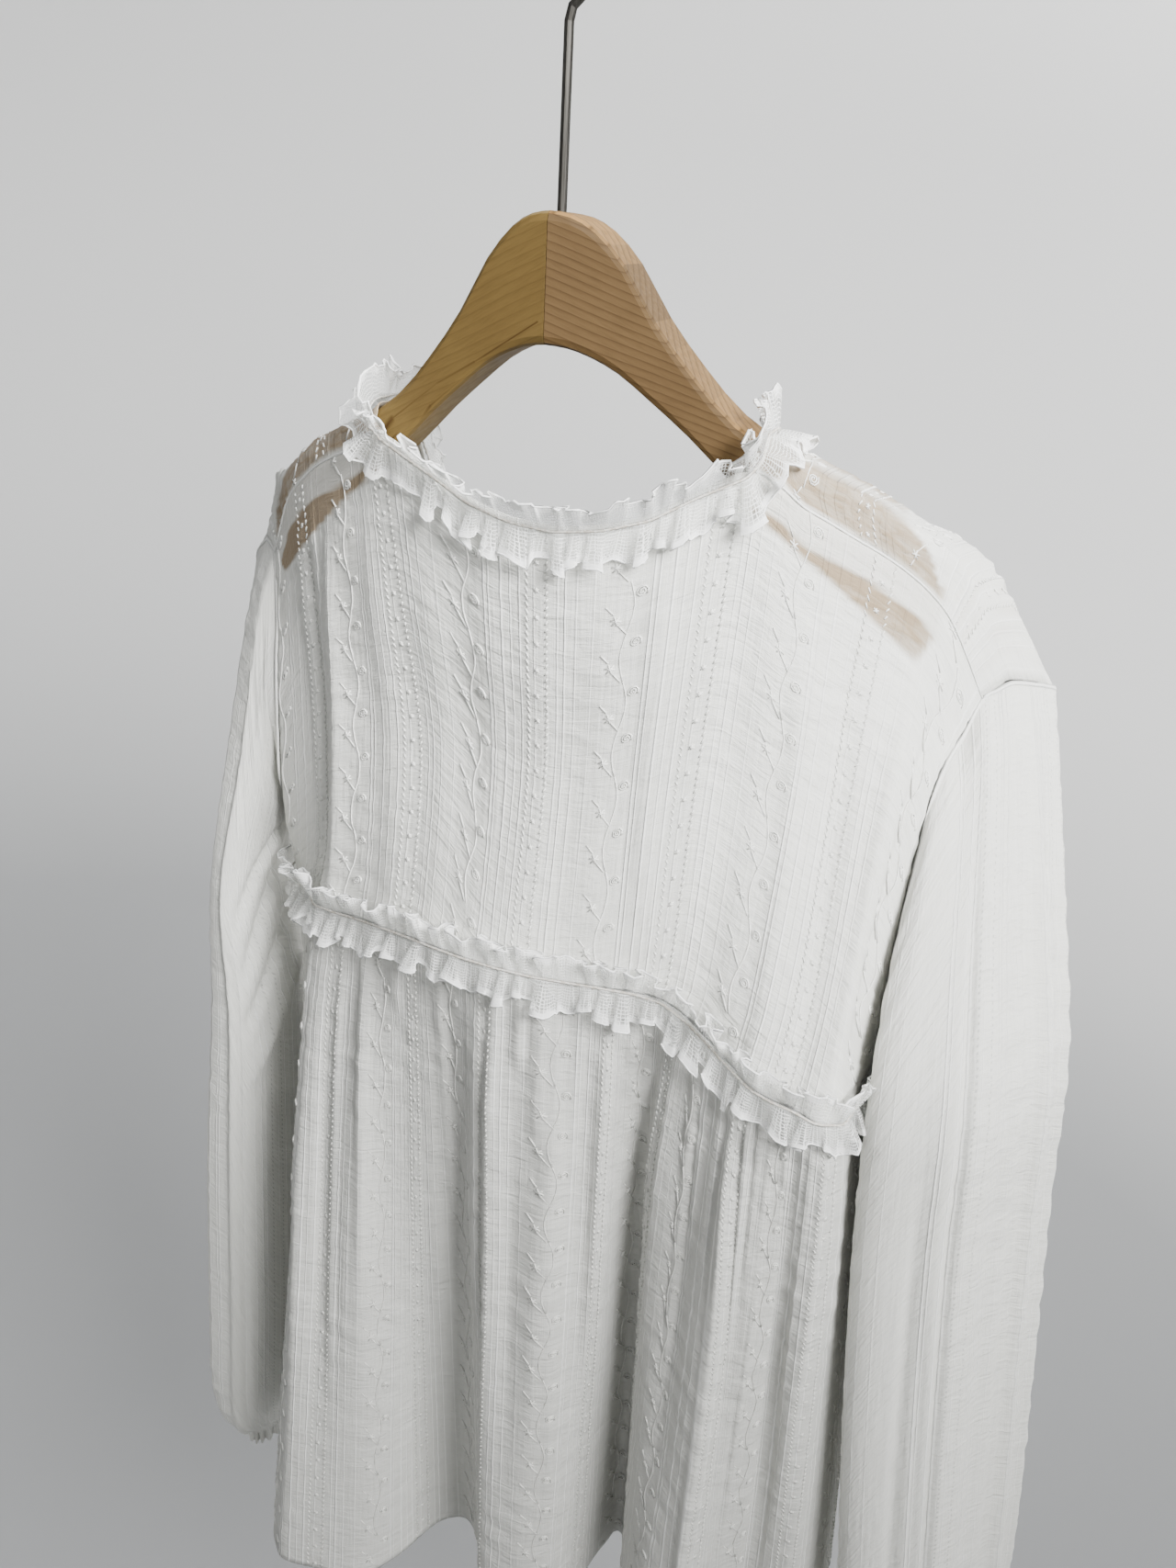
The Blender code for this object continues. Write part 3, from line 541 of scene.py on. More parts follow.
def cloth_piece(name, cloth, paint, first, marks):
    """The cloth as a thin closed shell; its UVs are flat metres from its first stripe."""
    rows, columns = cloth.grid.shape[:2]
    faces = grid_faces(rows, columns, cloth.closed)
    corners = face_corners(*faces.shape[:2])
    u = np.stack([cloth.across[c] for _, c in corners], axis=-1)
    v = np.stack([cloth.down[r, c % columns] for r, c in corners], axis=-1)
    kept = np.ones(faces.shape[:2], dtype=bool) if cloth.left_out is None else ~cloth.left_out
    used, faces = np.unique(faces[kept], return_inverse=True)
    made = mesh_piece(name, placed(cloth.grid).reshape(-1, 3)[used], faces.reshape(-1, 4), paint)
    flat = np.stack([u[kept] - first, v[kept]], axis=-1) / 1000
    layer = made.data.uv_layers.new(name="flat")
    layer.data.foreach_set("uv", flat.ravel())
    for mark, values in marks.items():
        spot = made.data.attributes.new(mark, "FLOAT", "POINT")
        spot.data.foreach_set("value", np.broadcast_to(values, (rows, columns)).ravel()[used])
    shell = made.modifiers.new("shell", "SOLIDIFY")
    shell.thickness = SHELL / 1000
    shell.offset = 0.0
    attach(made, "root")
    return made


def voile(name, body):
    """Cotton voile: matt, finely crinkled, with raised woven lines every stripe.

    Drawn threads leave a row of small holes along each picot row. Thread is about
    0.3 mm; it is drawn at 0.8 mm so that the weave shows.
    """
    paint, tree, shader = new_material(name)
    flat = add(tree, "ShaderNodeUVMap", {}, uv_map="flat").outputs["UV"]
    parts = add(tree, "ShaderNodeSeparateXYZ", {"Vector": flat}).outputs
    repeat = add(tree, "ShaderNodeMath", {0: parts["X"], 1: 1000.0 / STRIPE},
                 operation="MULTIPLY").outputs[0]
    share = add(tree, "ShaderNodeMath", {0: repeat}, operation="FRACT").outputs[0]
    stops = [(0.0, 0.0)]
    for middle, half, high in WOVEN_LINES:
        stops += [(middle - half, 0.0), (middle, high), (middle + half, 0.0)]
    woven = ramp(tree, share, stops)
    pair = PICOT_PAIR / STRIPE
    row = ramp(tree, share, [(0.0, 1.0), (0.010, 0.0), (pair - 0.010, 0.0), (pair, 1.0),
                             (pair + 0.010, 0.0), (0.990, 0.0), (1.0, 1.0)])
    beat = add(tree, "ShaderNodeMath", {0: parts["Y"], 1: 1000.0 / PICOT},
               operation="MULTIPLY").outputs[0]
    beat = add(tree, "ShaderNodeMath", {0: beat}, operation="FRACT").outputs[0]
    gap = ramp(tree, beat, [(0.22, 0.0), (0.40, 1.0), (0.60, 1.0), (0.78, 0.0)])
    hole = add(tree, "ShaderNodeMath", {0: row, 1: gap}, operation="MULTIPLY").outputs[0]
    # Crinkles are about 3.5 mm down the cloth and 14 mm across it, ribs 2 mm by 33 mm
    wrinkled, ribbed, threaded = (
        add(tree, "ShaderNodeMapping", {"Vector": flat, "Scale": (*scale, 1.0)}).outputs[0]
        for scale in ((70.0, 290.0), (520.0, 30.0), (1250.0, 1250.0)))
    crumple = add(tree, "ShaderNodeTexNoise", {"Vector": wrinkled, "Scale": 1.0, "Detail": 4.0,
                                               "Roughness": 0.6, "Distortion": 0.6}
                  ).outputs["Fac"]
    rib = add(tree, "ShaderNodeTexNoise", {"Vector": ribbed, "Scale": 1.0, "Detail": 2.0}
              ).outputs["Fac"]
    weave = add(tree, "ShaderNodeTexVoronoi", {"Vector": threaded, "Scale": 1.0,
                                               "Randomness": 0.35},
                voronoi_dimensions="2D").outputs["Distance"]
    heights = None
    for layer, strength in ((crumple, 1.35), (rib, 0.5), (weave, 0.12), (woven, 0.65)):
        heights = add(tree, "ShaderNodeMath", {0: layer, 1: strength, 2: heights or 0.0},
                      operation="MULTIPLY_ADD").outputs[0]
    relief = add(tree, "ShaderNodeBump", {"Height": heights, "Strength": 0.8,
                                          "Distance": 0.0011})
    # Colour: painted shade, a little greyer in the low parts of the crinkles and ribs and a little
    # lighter on their crests; greyer in the holes, whiter on the woven lines
    tone = ramp(tree, crumple, [(0.3, 0.955), (0.6, 1.0), (0.8, 1.02)])
    lined = ramp(tree, rib, [(0.3, 0.975), (0.7, 1.01)])
    shade = add(tree, "ShaderNodeMix", {"Factor": 1.0, "A": tone, "B": lined},
                data_type="RGBA", blend_type="MULTIPLY")
    cloth = add(tree, "ShaderNodeMix", {"Factor": woven, "A": linear(body), "B": linear("F6F6F3")},
                data_type="RGBA")
    opened = add(tree, "ShaderNodeMix", {"Factor": hole, "A": cloth.outputs["Result"],
                                         "B": linear("B4B4AF")}, data_type="RGBA")
    shaded = add(tree, "ShaderNodeMix", {"Factor": 1.0, "A": opened.outputs["Result"],
                                         "B": shade.outputs["Result"]},
                 data_type="RGBA", blend_type="MULTIPLY")
    # The tint stands for the wood seen through the sheer cloth, and for painted shade in the
    # troughs of the tucks over the shoulders
    shows = add(tree, "ShaderNodeAttribute", {}, attribute_name="tint_share").outputs["Fac"]
    uneven = add(tree, "ShaderNodeMath", {0: crumple, 1: 0.7}, operation="ADD").outputs[0]
    through = add(tree, "ShaderNodeMath", {0: shows, 1: uneven}, operation="MULTIPLY",
                  use_clamp=True).outputs[0]
    tinted = add(tree, "ShaderNodeMix", {"Factor": through, "A": shaded.outputs["Result"],
                                         "B": linear(WOOD_AND_SHADE_TINT)}, data_type="RGBA")
    fill(tree, shader, {"Base Color": tinted.outputs["Result"],
                        "Normal": relief.outputs["Normal"], "Roughness": 0.9,
                        "Specular IOR Level": 0.2, "Sheen Weight": 0.08})
    return paint


# Raised woven lines in each stripe: share of the stripe, half width and strength
WOVEN_LINES = [(0.045, 0.007, 0.5), (0.19, 0.007, 0.7), (0.235, 0.008, 0.9), (0.30, 0.007, 0.6),
               (0.40, 0.007, 0.4), (0.72, 0.008, 0.9), (0.75, 0.007, 0.7), (0.83, 0.009, 1.0),
               (0.89, 0.007, 0.6), (0.95, 0.008, 0.8)]
# Tint of the wood seen through the cloth, used also for painted shade in the tucks
WOOD_AND_SHADE_TINT = "94836C"
cotton = voile("crinkled_cotton_voile", "DFDFD9")


def cords(points, normals, wide, high, lift):
    """Three-sided cords along lines of points (cords x points x 3, in mm).

    The base edges lie wide apart at lift over the line, and the crest stands high over them.
    """
    count, length = points.shape[:2]
    side = np.cross(normals, np.gradient(points, axis=1))
    side /= np.maximum(np.linalg.norm(side, axis=-1, keepdims=True), 1e-9)
    base = points + normals * lift
    ring = np.stack([base + side * wide / 2, base + normals * high, base - side * wide / 2],
                    axis=2)
    first = (np.arange(count) * length * 3)[:, None, None]
    step = (np.arange(length - 1) * 3)[None, :, None]
    k = np.arange(3)[None, None]
    a, b = first + step + k, first + step + (k + 1) % 3
    walls = np.stack([a, a + 3, b + 3, b], axis=-1).reshape(-1, 4)
    starts = first.reshape(-1, 1) + np.array([[0, 1, 2]])
    ends = first.reshape(-1, 1) + (length - 1) * 3 + np.array([[2, 1, 0]])
    return ring.reshape(-1, 3), walls, np.concatenate([starts, ends])


def threads(paths, cloth, wide, high):
    """Raised stitches along flat paths (stitches x points x 2, in mm) laid on a cloth."""
    stitches, length = paths.shape[:2]
    points, normals, inside = cloth.onto(paths[..., 0].ravel(), paths[..., 1].ravel())
    keep = inside.reshape(stitches, length).all(axis=1)
    return cords(points.reshape(stitches, length, 3)[keep],
                 normals.reshape(stitches, length, 3)[keep], wide, high, SHELL / 2)


def sewn(name, bundles, paint):
    """One piece from several bundles of cords."""
    points, walls, ends, count = [], [], [], 0
    for bundle_points, bundle_walls, bundle_ends in bundles:
        points.append(bundle_points)
        walls.append(bundle_walls + count)
        ends.append(bundle_ends + count)
        count += len(bundle_points)
    made = mesh_piece(name, placed(np.concatenate(points)), np.concatenate(walls), paint,
                      np.concatenate(ends).tolist())
    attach(made, "root")
    return made


def stripes(cloth, first):
    """The embroidery of every stripe on a cloth, whose first picot row is at a flat place.

    Picot rows are short slanted stitches, and between the pair are small crosses. The vine
    is a stem u = -1.5 + 2.2 sin(2 pi v / 46), with two spirals and two leafy stars for each
    turn of it.
    """
    wide, long = cloth.across[-1], cloth.down.max()
    starts = np.arange(first - STRIPE * math.ceil(first / STRIPE), wide + STRIPE, STRIPE)
    dash, cross, spiral, stem, star = [], [], [], [], []
    turns = np.linspace(0.0, 2.1 * 2 * math.pi, 17)
    curl = np.stack([np.cos(turns), np.sin(turns)], axis=1) * (0.45 + 0.33 * turns / 2)[:, None]
    for number, start in enumerate(starts):
        v = np.arange(0.0, long, PICOT)
        slant = np.stack([np.stack([-0.55 + 0 * v, v - 1.0], axis=1),
                          np.stack([0.55 + 0 * v, v + 1.0], axis=1)], axis=1)
        for row, mirror in ((0.0, 1), (PICOT_PAIR, -1)):
            dash.append(slant * (mirror, 1) + (start + row, 0))
        v = np.arange(5.0 + 3 * (number % 3), long, CROSS_PITCH)
        middle = np.stack([start + PICOT_PAIR / 2 + 0 * v, v], axis=1)[:, None]
        for lean in ((1.1, 0.7), (1.1, -0.7), (0.0, 1.2)):
            arm = np.array(lean)
            cross.append(np.concatenate([middle - arm, middle + arm], axis=1))
        v = np.arange(-VINE_PERIOD + 9.0 * (number % 4), long, VINE_PERIOD)
        base = np.stack([start + VINE_PLACE + 0 * v, v], axis=1)[:, None]
        for at_u, at_v in ((3.2, 6.0), (2.4, 28.5)):
            spiral.append(base + curl + (at_u, at_v))
        run = np.linspace(0, VINE_PERIOD, 13)
        wave = np.stack([-1.5 + 2.2 * np.sin(2 * math.pi * run / VINE_PERIOD), run], axis=1)
        stem.append(base + wave)
        for at_u, at_v in ((-6.5, 17.0), (-7.5, 39.0)):
            for angle in (0.2, 1.25, 2.3):
                arm = 2.3 * np.array([math.cos(angle), math.sin(angle)])
                star.append(base + np.stack([-arm, arm]) + (at_u, at_v))
            star.append(base + np.array([(0.6, 1.5), (5.0, 7.0)]) + (at_u, at_v))
            star.append(base + np.array([(-1.0, -3.0), (-4.5, -7.0)]) + (at_u, at_v))
    stitches = ((dash, 0.95, 0.55), (cross, 0.8, 0.5), (spiral, 0.9, 0.75), (stem, 0.8, 0.55),
                (star, 0.85, 0.65))
    return [threads(np.concatenate(paths), cloth, *size) for paths, *size in stitches]


def thread_material(name, dark, pale, scale, detail, low, rough):
    """Twisted thread: fine noise from a dark tone at low to a pale one at 1 - low."""
    paint, tree, shader = new_material(name)
    place = add(tree, "ShaderNodeTexCoord", {}).outputs["Object"]
    twist = add(tree, "ShaderNodeTexNoise", {"Vector": place, "Scale": scale, "Detail": detail}
                ).outputs["Fac"]
    tone = ramp(tree, twist, [(low, linear(dark)), (1.0 - low, linear(pale))])
    fill(tree, shader, {"Base Color": tone, "Roughness": rough})
    return paint


# The stitching: mercerised cotton thread, a little whiter and smoother than the cloth
thread = thread_material("mercerised_cotton_thread", "DEDED9", "F0F0EC", 1800.0, 1.0, 0.3, 0.75)


def back_bodice_surface():
    """Rows from the shoulder and neck edge to the waist seam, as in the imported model."""
    top, chest, under, waist = ([row[k] for row in BACK_BODICE] for k in range(4))
    levels = np.array([top,
                       [(x, y, CHEST_LEVEL) for x, y in chest],
                       [(x, y, UNDER_LEVEL) for x, y in under],
                       waist], dtype=float)
    edges = np.array([smooth_through(level, COLUMNS + 1) for level in levels])
    between = 0.5 * (edges[0] + edges[1])
    between[:, 1] = (1 - UPPER_SAG) * edges[0][:, 1] + UPPER_SAG * edges[1][:, 1]
    coarse = smooth_through([edges[0], between, edges[1], edges[2], edges[3]], BACK_ROWS)
    return clear_of_wood(coarse, -1)


coarse_back = back_bodice_surface()
back = Cloth(clear_of_wood(finer(coarse_back, FINE_BACK_ROWS, FINE_COLUMNS), -1),
             BACK_MEASURED_ROW, 1)
share_across = np.linspace(0, 1, FINE_COLUMNS)[None]
share_down = np.linspace(0, 1, FINE_BACK_ROWS)[:, None]
free = ease((share_down - 0.02) / 0.10)
height = BACK_FOLD_SCALE * fold_heights(share_across, share_down, BACK_WIDTH, BACK_FOLDS)
height += BACK_CRINKLE * crinkles(back.across[None], back.down, 11) * ease(share_down / 0.1)
doubled = ease((DOUBLED_BAND - back.down) / 1.2)
back.raised(height * free + DOUBLED_HIGH * doubled)
back.grid = clear_of_wood(back.grid, -1)
shows = tint_share(back.grid) * (1 - 0.82 * doubled)
first = back.across[BACK_FIRST_COLUMN]
back_piece = cloth_piece("back_panel", back, cotton, first, {"tint_share": shows})
back_stripes = sewn("back_embroidery", stripes(back, first), thread)
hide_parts("back_bodice")


# The front bodice: the same voile in one panel, with a round neck cut low in front. Its
# shoulders come over the wood to the seam behind it, so the wood shows through there.
WRAP_LIP = 6.0
SEAM_GAP = 1.0
SHOULDER_ROWS = 6
FRONT_ROWS = 9
NECK = slice(10, 19)
BRIDGE_START = 138.0
BRIDGE_FALL = 0.7
WRAP_SHARES = (0.12, 0.24, 0.38, 0.84, 0.94, 1.0)
FINE_SHOULDER_ROWS = 43
FINE_CHEST_ROWS = 97
FRONT_MEASURED_ROW = FINE_SHOULDER_ROWS + 30
FRONT_FIRST_SHARE = 0.79
FRONT_WIDTH = 440.0
FRONT_CRINKLE = 0.14
TUCK_PITCH = 5.6
TUCK_HIGH = 1.2
TUCK_PLACE = 0.045
TUCK_SPREAD = 0.034
TUCK_SHADE = 0.16
OVER_WOOD_SHARE = 0.32
OVER_WOOD_CRINKLE = 0.22
SHOW_AT_SEAM = 0.74
SHOW_LOST_IN_FRONT = 0.5
FRONT_BODICE = [
    ((-176, -213), (142, -188, 10), (-189, 134), (-176, 116), (-175, 101, -366)),
    ((-158, -176), (132, -142, 6), (-170, 138), (-164, 132), (-160, 122, -364)),
    ((-137, -148), None, (-146, 128), (-142, 132), (-138, 130, -362)),
    ((-122, -128), None, (-122, 116), (-120, 124), (-116, 128, -360)),
    ((-103, -106), None, (-96, 104), (-92, 112), (-90, 120, -358)),
    ((-85, -86), None, (-62, 96), (-60, 104), (-60, 114, -356)),
    ((-36, -36), None, (-30, 92), (-28, 100), (-28, 112, -355)),
    ((0, 0), None, (2, 91), (4, 99), (6, 112, -355)),
    ((36, 36), None, (34, 92), (36, 100), (40, 113, -355)),
    ((85, 86), None, (66, 96), (68, 104), (74, 116, -356)),
    ((103, 106), None, (102, 104), (100, 112), (102, 121, -358)),
    ((127, 131), None, (128, 118), (126, 124), (126, 126, -360)),
    ((150, 158), None, (156, 130), (150, 130), (146, 124, -364)),
    ((176, 196), (150, -152, 15), (186, 138), (172, 118), (172, 106, -368)),
    ((202, 236), (146, -208, 8), (214, 134), (182, 86), (178, 47, -379))]
FRONT_NECK = np.array([
    (-86, 70, -92), (-80, 73, -112), (-70, 77, -138), (-56, 81, -162), (-38, 84, -180),
    (-19, 86, -190), (0, 87, -193), (19, 86, -190), (38, 84, -180), (56, 81, -162),
    (70, 77, -138), (80, 73, -112), (86, 70, -92)])
FRONT_FOLDS = [
    (0.09, 0.12, 0.35, 1.00, 8.0, 2.0, 0.3), (0.18, 0.20, 0.32, 0.95, 10.0, -2.0, 0.0),
    (0.26, 0.30, 0.30, 1.00, 7.0, 1.6, 0.2), (0.37, 0.40, 0.32, 0.90, 9.0, 1.2, 0.0),
    (0.45, 0.46, 0.32, 1.00, 8.0, -1.2, 0.0), (0.53, 0.51, 0.32, 0.85, 6.0, 1.0, -0.2),
    (0.62, 0.60, 0.32, 1.00, 9.0, 1.5, 0.2), (0.73, 0.70, 0.30, 0.95, 8.0, -1.6, 0.0),
    (0.82, 0.79, 0.34, 1.00, 7.0, 1.9, -0.3), (0.91, 0.88, 0.36, 1.00, 9.0, 2.4, 0.2)]


def shoulder_top(across):
    """The wood's top, with cloth bridging straight past its rounded ends."""
    past = np.maximum(np.abs(across) - BRIDGE_START, 0)
    return np.maximum(wood_top(across), wood_top(BRIDGE_START) - BRIDGE_FALL * past)


def front_bodice_surface(back_top):
    """Rows over the shoulders from the seam, then rows down the chest, as in the model."""
    beyond = [row[1] for row in FRONT_BODICE]
    over, chest, under, waist = (
        np.array([row[k] for row in FRONT_BODICE], dtype=float) for k in (0, 2, 3, 4))
    seam = back_top[::2] + (0, 0, SEAM_GAP)
    near, far = over[:, 0], over[:, 1]
    lift, lip = WOOD_GAP, WRAP_LIP
    wrap = [(near, wood_back(near) - lift, -lip), (near, wood_back(near), 0),
            (near, wood_back(near) + lip, lift),
            (far, wood_back(far) + WOOD_DEPTH - lip, lift), (far, wood_back(far) + WOOD_DEPTH, 0),
            (far, wood_back(far) + WOOD_DEPTH + lift, -lip)]
    upper = [seam]
    for share, (across, away, height) in zip(WRAP_SHARES, wrap):
        row = np.stack([across, away, shoulder_top(across) + height], axis=1)
        for station, edge in enumerate(beyond):
            if edge is not None:
                *edge, puff = edge
                edge = np.array([far[station], *edge])
                row[station] = seam[station] + (edge - seam[station]) * share
                row[station, 2] += puff * math.sin(math.pi * share)
        upper.append(row)
    levels = [upper.pop(), None, np.column_stack([chest, np.full(len(chest), CHEST_LEVEL)]),
              np.column_stack([under, np.full(len(under), UNDER_LEVEL)]), waist]
    upper = [smooth_through(row, COLUMNS + 1) for row in upper]
    for row, height in zip(upper[2:], (0, lift, lift, 0)):
        on_wood = np.abs(row[:, 0]) < CLOTH_REACH
        row[:, 2] = np.where(on_wood, np.maximum(row[:, 2], shoulder_top(row[:, 0]) + height),
                             row[:, 2])
    near_row, far_row = upper[2], upper[5]
    near_row[:, 1] = np.minimum(near_row[:, 1], wood_back(near_row[:, 0]))
    on_wood = np.abs(far_row[:, 0]) < CLOTH_REACH
    far_side = wood_back(far_row[:, 0]) + WOOD_DEPTH
    far_row[:, 1] = np.where(on_wood, np.maximum(far_row[:, 1], far_side), far_row[:, 1])
    edges = [None if row is None else smooth_through(row, COLUMNS + 1) for row in levels]
    edges[0][NECK] = smooth_through(FRONT_NECK, NECK.stop - NECK.start)
    edges[1] = 0.5 * (edges[0] + edges[2])
    lower = clear_of_wood(smooth_through(np.array(edges), FRONT_ROWS), 1)
    upper[:2] = [clear_of_wood(row, -1) for row in upper[:2]]
    return np.array(upper), lower


shoulders, chest = front_bodice_surface(coarse_back[0])
coarse_front = np.vstack([shoulders, chest])
over_wood = finer(np.vstack([shoulders, chest[:1]]), FINE_SHOULDER_ROWS, FINE_COLUMNS)
down_chest = clear_of_wood(finer(chest, FINE_CHEST_ROWS, FINE_COLUMNS), 1)
fine_rows = FINE_SHOULDER_ROWS + FINE_CHEST_ROWS - 1
opening = np.zeros((fine_rows - 1, FINE_COLUMNS - 1), dtype=bool)
opening[:FINE_SHOULDER_ROWS - 1, NECK.start * FINER:(NECK.stop - 1) * FINER] = True
front = Cloth(np.vstack([over_wood[:-1], down_chest]), FRONT_MEASURED_ROW, -1, left_out=opening)
share_down = np.linspace(0, 1, fine_rows)[:, None]
height = fold_heights(share_across, share_down, FRONT_WIDTH, FRONT_FOLDS)
height += FRONT_CRINKLE * crinkles(front.across[None], front.down, 12)
# Tucks beside each armhole, and creases across the cloth that lies over the wood
on_top = ease((OVER_WOOD_SHARE - share_down) / 0.06)
tucks = np.sin(2 * math.pi * front.across[None] / TUCK_PITCH + 0.05 * front.down) * np.exp(
    -((np.minimum(share_across, 1 - share_across) - TUCK_PLACE) / TUCK_SPREAD) ** 2)
height += TUCK_HIGH * on_top * tucks
height += OVER_WOOD_CRINKLE * on_top * crinkles(front.down, front.across[None], 13, 30.0, 5.0)
front.raised(height * ease(share_down / 0.03))
# The wood shows best next to the seam, and hardly where the cloth turns down in front
over_edge = np.exp(-((front.down - WOOD_DEPTH) / 10.0) ** 2)
shows = tint_share(front.grid) * ease(front.down / 3.0) * (
    SHOW_AT_SEAM - SHOW_LOST_IN_FRONT * over_edge)
# Painted shade: the troughs of the tucks over the wood are tinted darker, as the wood seen through
# is
shows = shows + TUCK_SHADE * on_top * np.maximum(-tucks, 0)
first = front.across[round(FRONT_FIRST_SHARE * (FINE_COLUMNS - 1))]
front_piece = cloth_piece("front_panel", front, cotton, first, {"tint_share": shows})
front_stripes = sewn("front_embroidery", stripes(front, first), thread)
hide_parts("front_bodice")


# The peplum: two wide panels of the same voile, each gathered to about two thirds of its
# width on the waist seam, so it falls in fine pleats that open into soft round folds.
PEPLUM_COLUMNS = 56
PEPLUM_ROWS = 9
HEM_LEVEL = -756.0
HEM_DIP = 16.0
DRAPE_POWER = 0.85
GATHERS = 13
GATHER_DEPTH = 3.2
GATHER_FADE = 1.15
FINE_GATHERS = 44
PEPLUM_TOP_WIDTH = 470.0
PEPLUM_FLARE = 180.0
PEPLUM_CRINKLE = 0.22
BACK_HEM = np.array([
    (0, -150, 94), (0.8, -150, 50), (1.7, -147, -4), (2.6, -137, -52), (3.2, -115, -62),
    (3.9, -88, -62), (4.5, -64, -56), (5.0, -44, -24), (5.4, -26, 2), (5.8, -10, -18),
    (6.4, 6, -48), (7.0, 26, -58), (7.8, 48, -48), (8.4, 62, -8), (8.8, 74, 26),
    (9.2, 85, -14), (9.8, 98, -58), (10.6, 118, -66), (11.3, 136, -44), (12.0, 154, -18),
    (12.8, 174, -26), (13.3, 192, -22), (13.7, 203, 8), (14.0, 206, 48)])
FRONT_HEM = np.array([
    (0, -150, 96), (1.0, -148, 128), (2.0, -132, 150), (3.0, -108, 158), (4.0, -88, 138),
    (5.0, -68, 134), (6.0, -44, 158), (7.0, -12, 164), (7.6, 8, 140), (8.3, 28, 136),
    (9.0, 52, 158), (10.0, 84, 160), (10.7, 102, 138), (11.4, 120, 136), (12.0, 142, 152),
    (13.0, 174, 134), (13.6, 197, 98), (14.0, 206, 54)])
PEPLUM_FOLDS = [
    (0.236, 0.214, 0.00, 1.00, 10.0, 3.0, 0.3), (0.300, 0.305, 0.00, 0.75, 7.0, 1.8, 0.3),
    (0.352, 0.365, 0.00, 1.00, 8.0, -1.8, 0.0), (0.455, 0.452, 0.00, 1.00, 9.0, 6.2, 0.8),
    (0.520, 0.545, 0.05, 0.90, 6.0, 1.6, 0.2), (0.572, 0.590, 0.00, 0.70, 7.0, 2.2, 0.3),
    (0.610, 0.625, 0.00, 1.00, 6.0, -1.8, 0.0), (0.650, 0.668, 0.00, 1.00, 9.0, 6.2, 0.8),
    (0.705, 0.700, 0.00, 0.80, 5.0, -1.6, 0.0), (0.762, 0.754, 0.00, 1.00, 10.0, 6.8, 0.8),
    (0.824, 0.809, 0.12, 0.97, 2.4, -1.8, 0.0), (0.855, 0.840, 0.05, 1.00, 8.0, 1.8, 0.2),
    (0.893, 0.880, 0.00, 0.90, 4.0, -1.2, 0.0), (0.930, 0.925, 0.00, 1.00, 7.0, 1.6, 0.3)]


def peplum_surface(waist, hem):
    """Rows from the waist seam to the hem; the hem's folds fade in on the way down."""
    stations = np.linspace(0, len(BACK_BODICE) - 1, PEPLUM_COLUMNS + 1)
    top = smooth_through(waist, PEPLUM_COLUMNS + 1) - (0, 0, SEAM_GAP)
    across = np.interp(stations, hem[:, 0], hem[:, 1])
    away = np.interp(stations, hem[:, 0], hem[:, 2])
    for edge in (across, away):
        edge[1:-1] = 0.25 * edge[:-2] + 0.5 * edge[1:-1] + 0.25 * edge[2:]
    level = HEM_LEVEL - HEM_DIP * (2 * stations / stations[-1] - 1) ** 2
    bottom = np.stack([across, away, level], axis=1)
    share = np.linspace(0, 1, PEPLUM_ROWS)[:, None]
    rows = top + (bottom - top) * share[..., None]
    rows[..., :2] = top[:, :2] + (bottom[:, :2] - top[:, :2]) * share[..., None] ** DRAPE_POWER
    waves = np.sin(2 * math.pi * GATHERS * stations / stations[-1])
    fade = np.sin(math.pi * np.minimum(1.0, GATHER_FADE * share)) ** 2
    rows[..., 1] += waves * GATHER_DEPTH * fade
    return rows


# Painted shade: darker copies of the voile and thread below the waist, for one layer over a shaded
# inside, where the bodice has its front close behind it
shaded_skirt_cotton = voile("crinkled_cotton_voile_skirt_shaded", "C4C4BF")
shaded_skirt_thread = thread_material("mercerised_cotton_thread_skirt_shaded", "C8C8C3", "DADAD5", 1800.0,
                               1.0, 0.3, 0.75)


def gathers(seed, count):
    """Fine pleats from the waist seam, unevenly spaced, long and deep."""
    draw = np.random.default_rng(seed)
    shares = (np.arange(count) + draw.uniform(0.1, 0.9, count)) / count
    return [(s, s + draw.uniform(-0.008, 0.008), -0.02, draw.uniform(0.12, 0.75),
             draw.uniform(2.0, 5.0), draw.uniform(0.9, 2.7), draw.uniform(-0.3, 0.5))
            for s in shares]


def peplum(name, waist, hem, facing, rows, columns, folds, seed, first_share):
    """A gathered panel and its embroidery, with the coarse grid that carries them."""
    coarse = peplum_surface(np.array(waist, dtype=float), hem)
    cloth = Cloth(finer(coarse, rows, columns), rows - 1, facing)
    across, down = np.linspace(0, 1, columns)[None], np.linspace(0, 1, rows)[:, None]
    width = PEPLUM_TOP_WIDTH + PEPLUM_FLARE * down
    height = fold_heights(across, down, width, folds + gathers(seed, FINE_GATHERS))
    height += PEPLUM_CRINKLE * crinkles(cloth.across[None], cloth.down, seed, 30.0, 10.0)
    cloth.raised(height)
    first = cloth.across[round(first_share * (columns - 1))]
    piece = cloth_piece(f"{name}_panel", cloth, shaded_skirt_cotton, first, {"tint_share": 0.0})
    embroidery = sewn(f"{name}_embroidery", stripes(cloth, first), shaded_skirt_thread)
    return coarse, piece, embroidery


back_waist = [row[3] for row in BACK_BODICE]
front_waist = [row[4] for row in FRONT_BODICE]
coarse_back_peplum, back_skirt, back_skirt_stripes = peplum(
    "back_peplum", back_waist, BACK_HEM, 1, 117, 337, PEPLUM_FOLDS, 21, 0.912)
coarse_front_peplum, front_skirt, front_skirt_stripes = peplum(
    "front_peplum", front_waist, FRONT_HEM, -1, 97, 253,
    [(1 - a, 1 - b, c, d, e, f, g) for a, b, c, d, e, f, g in PEPLUM_FOLDS], 22, 0.5)
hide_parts("back_peplum")
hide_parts("front_peplum")


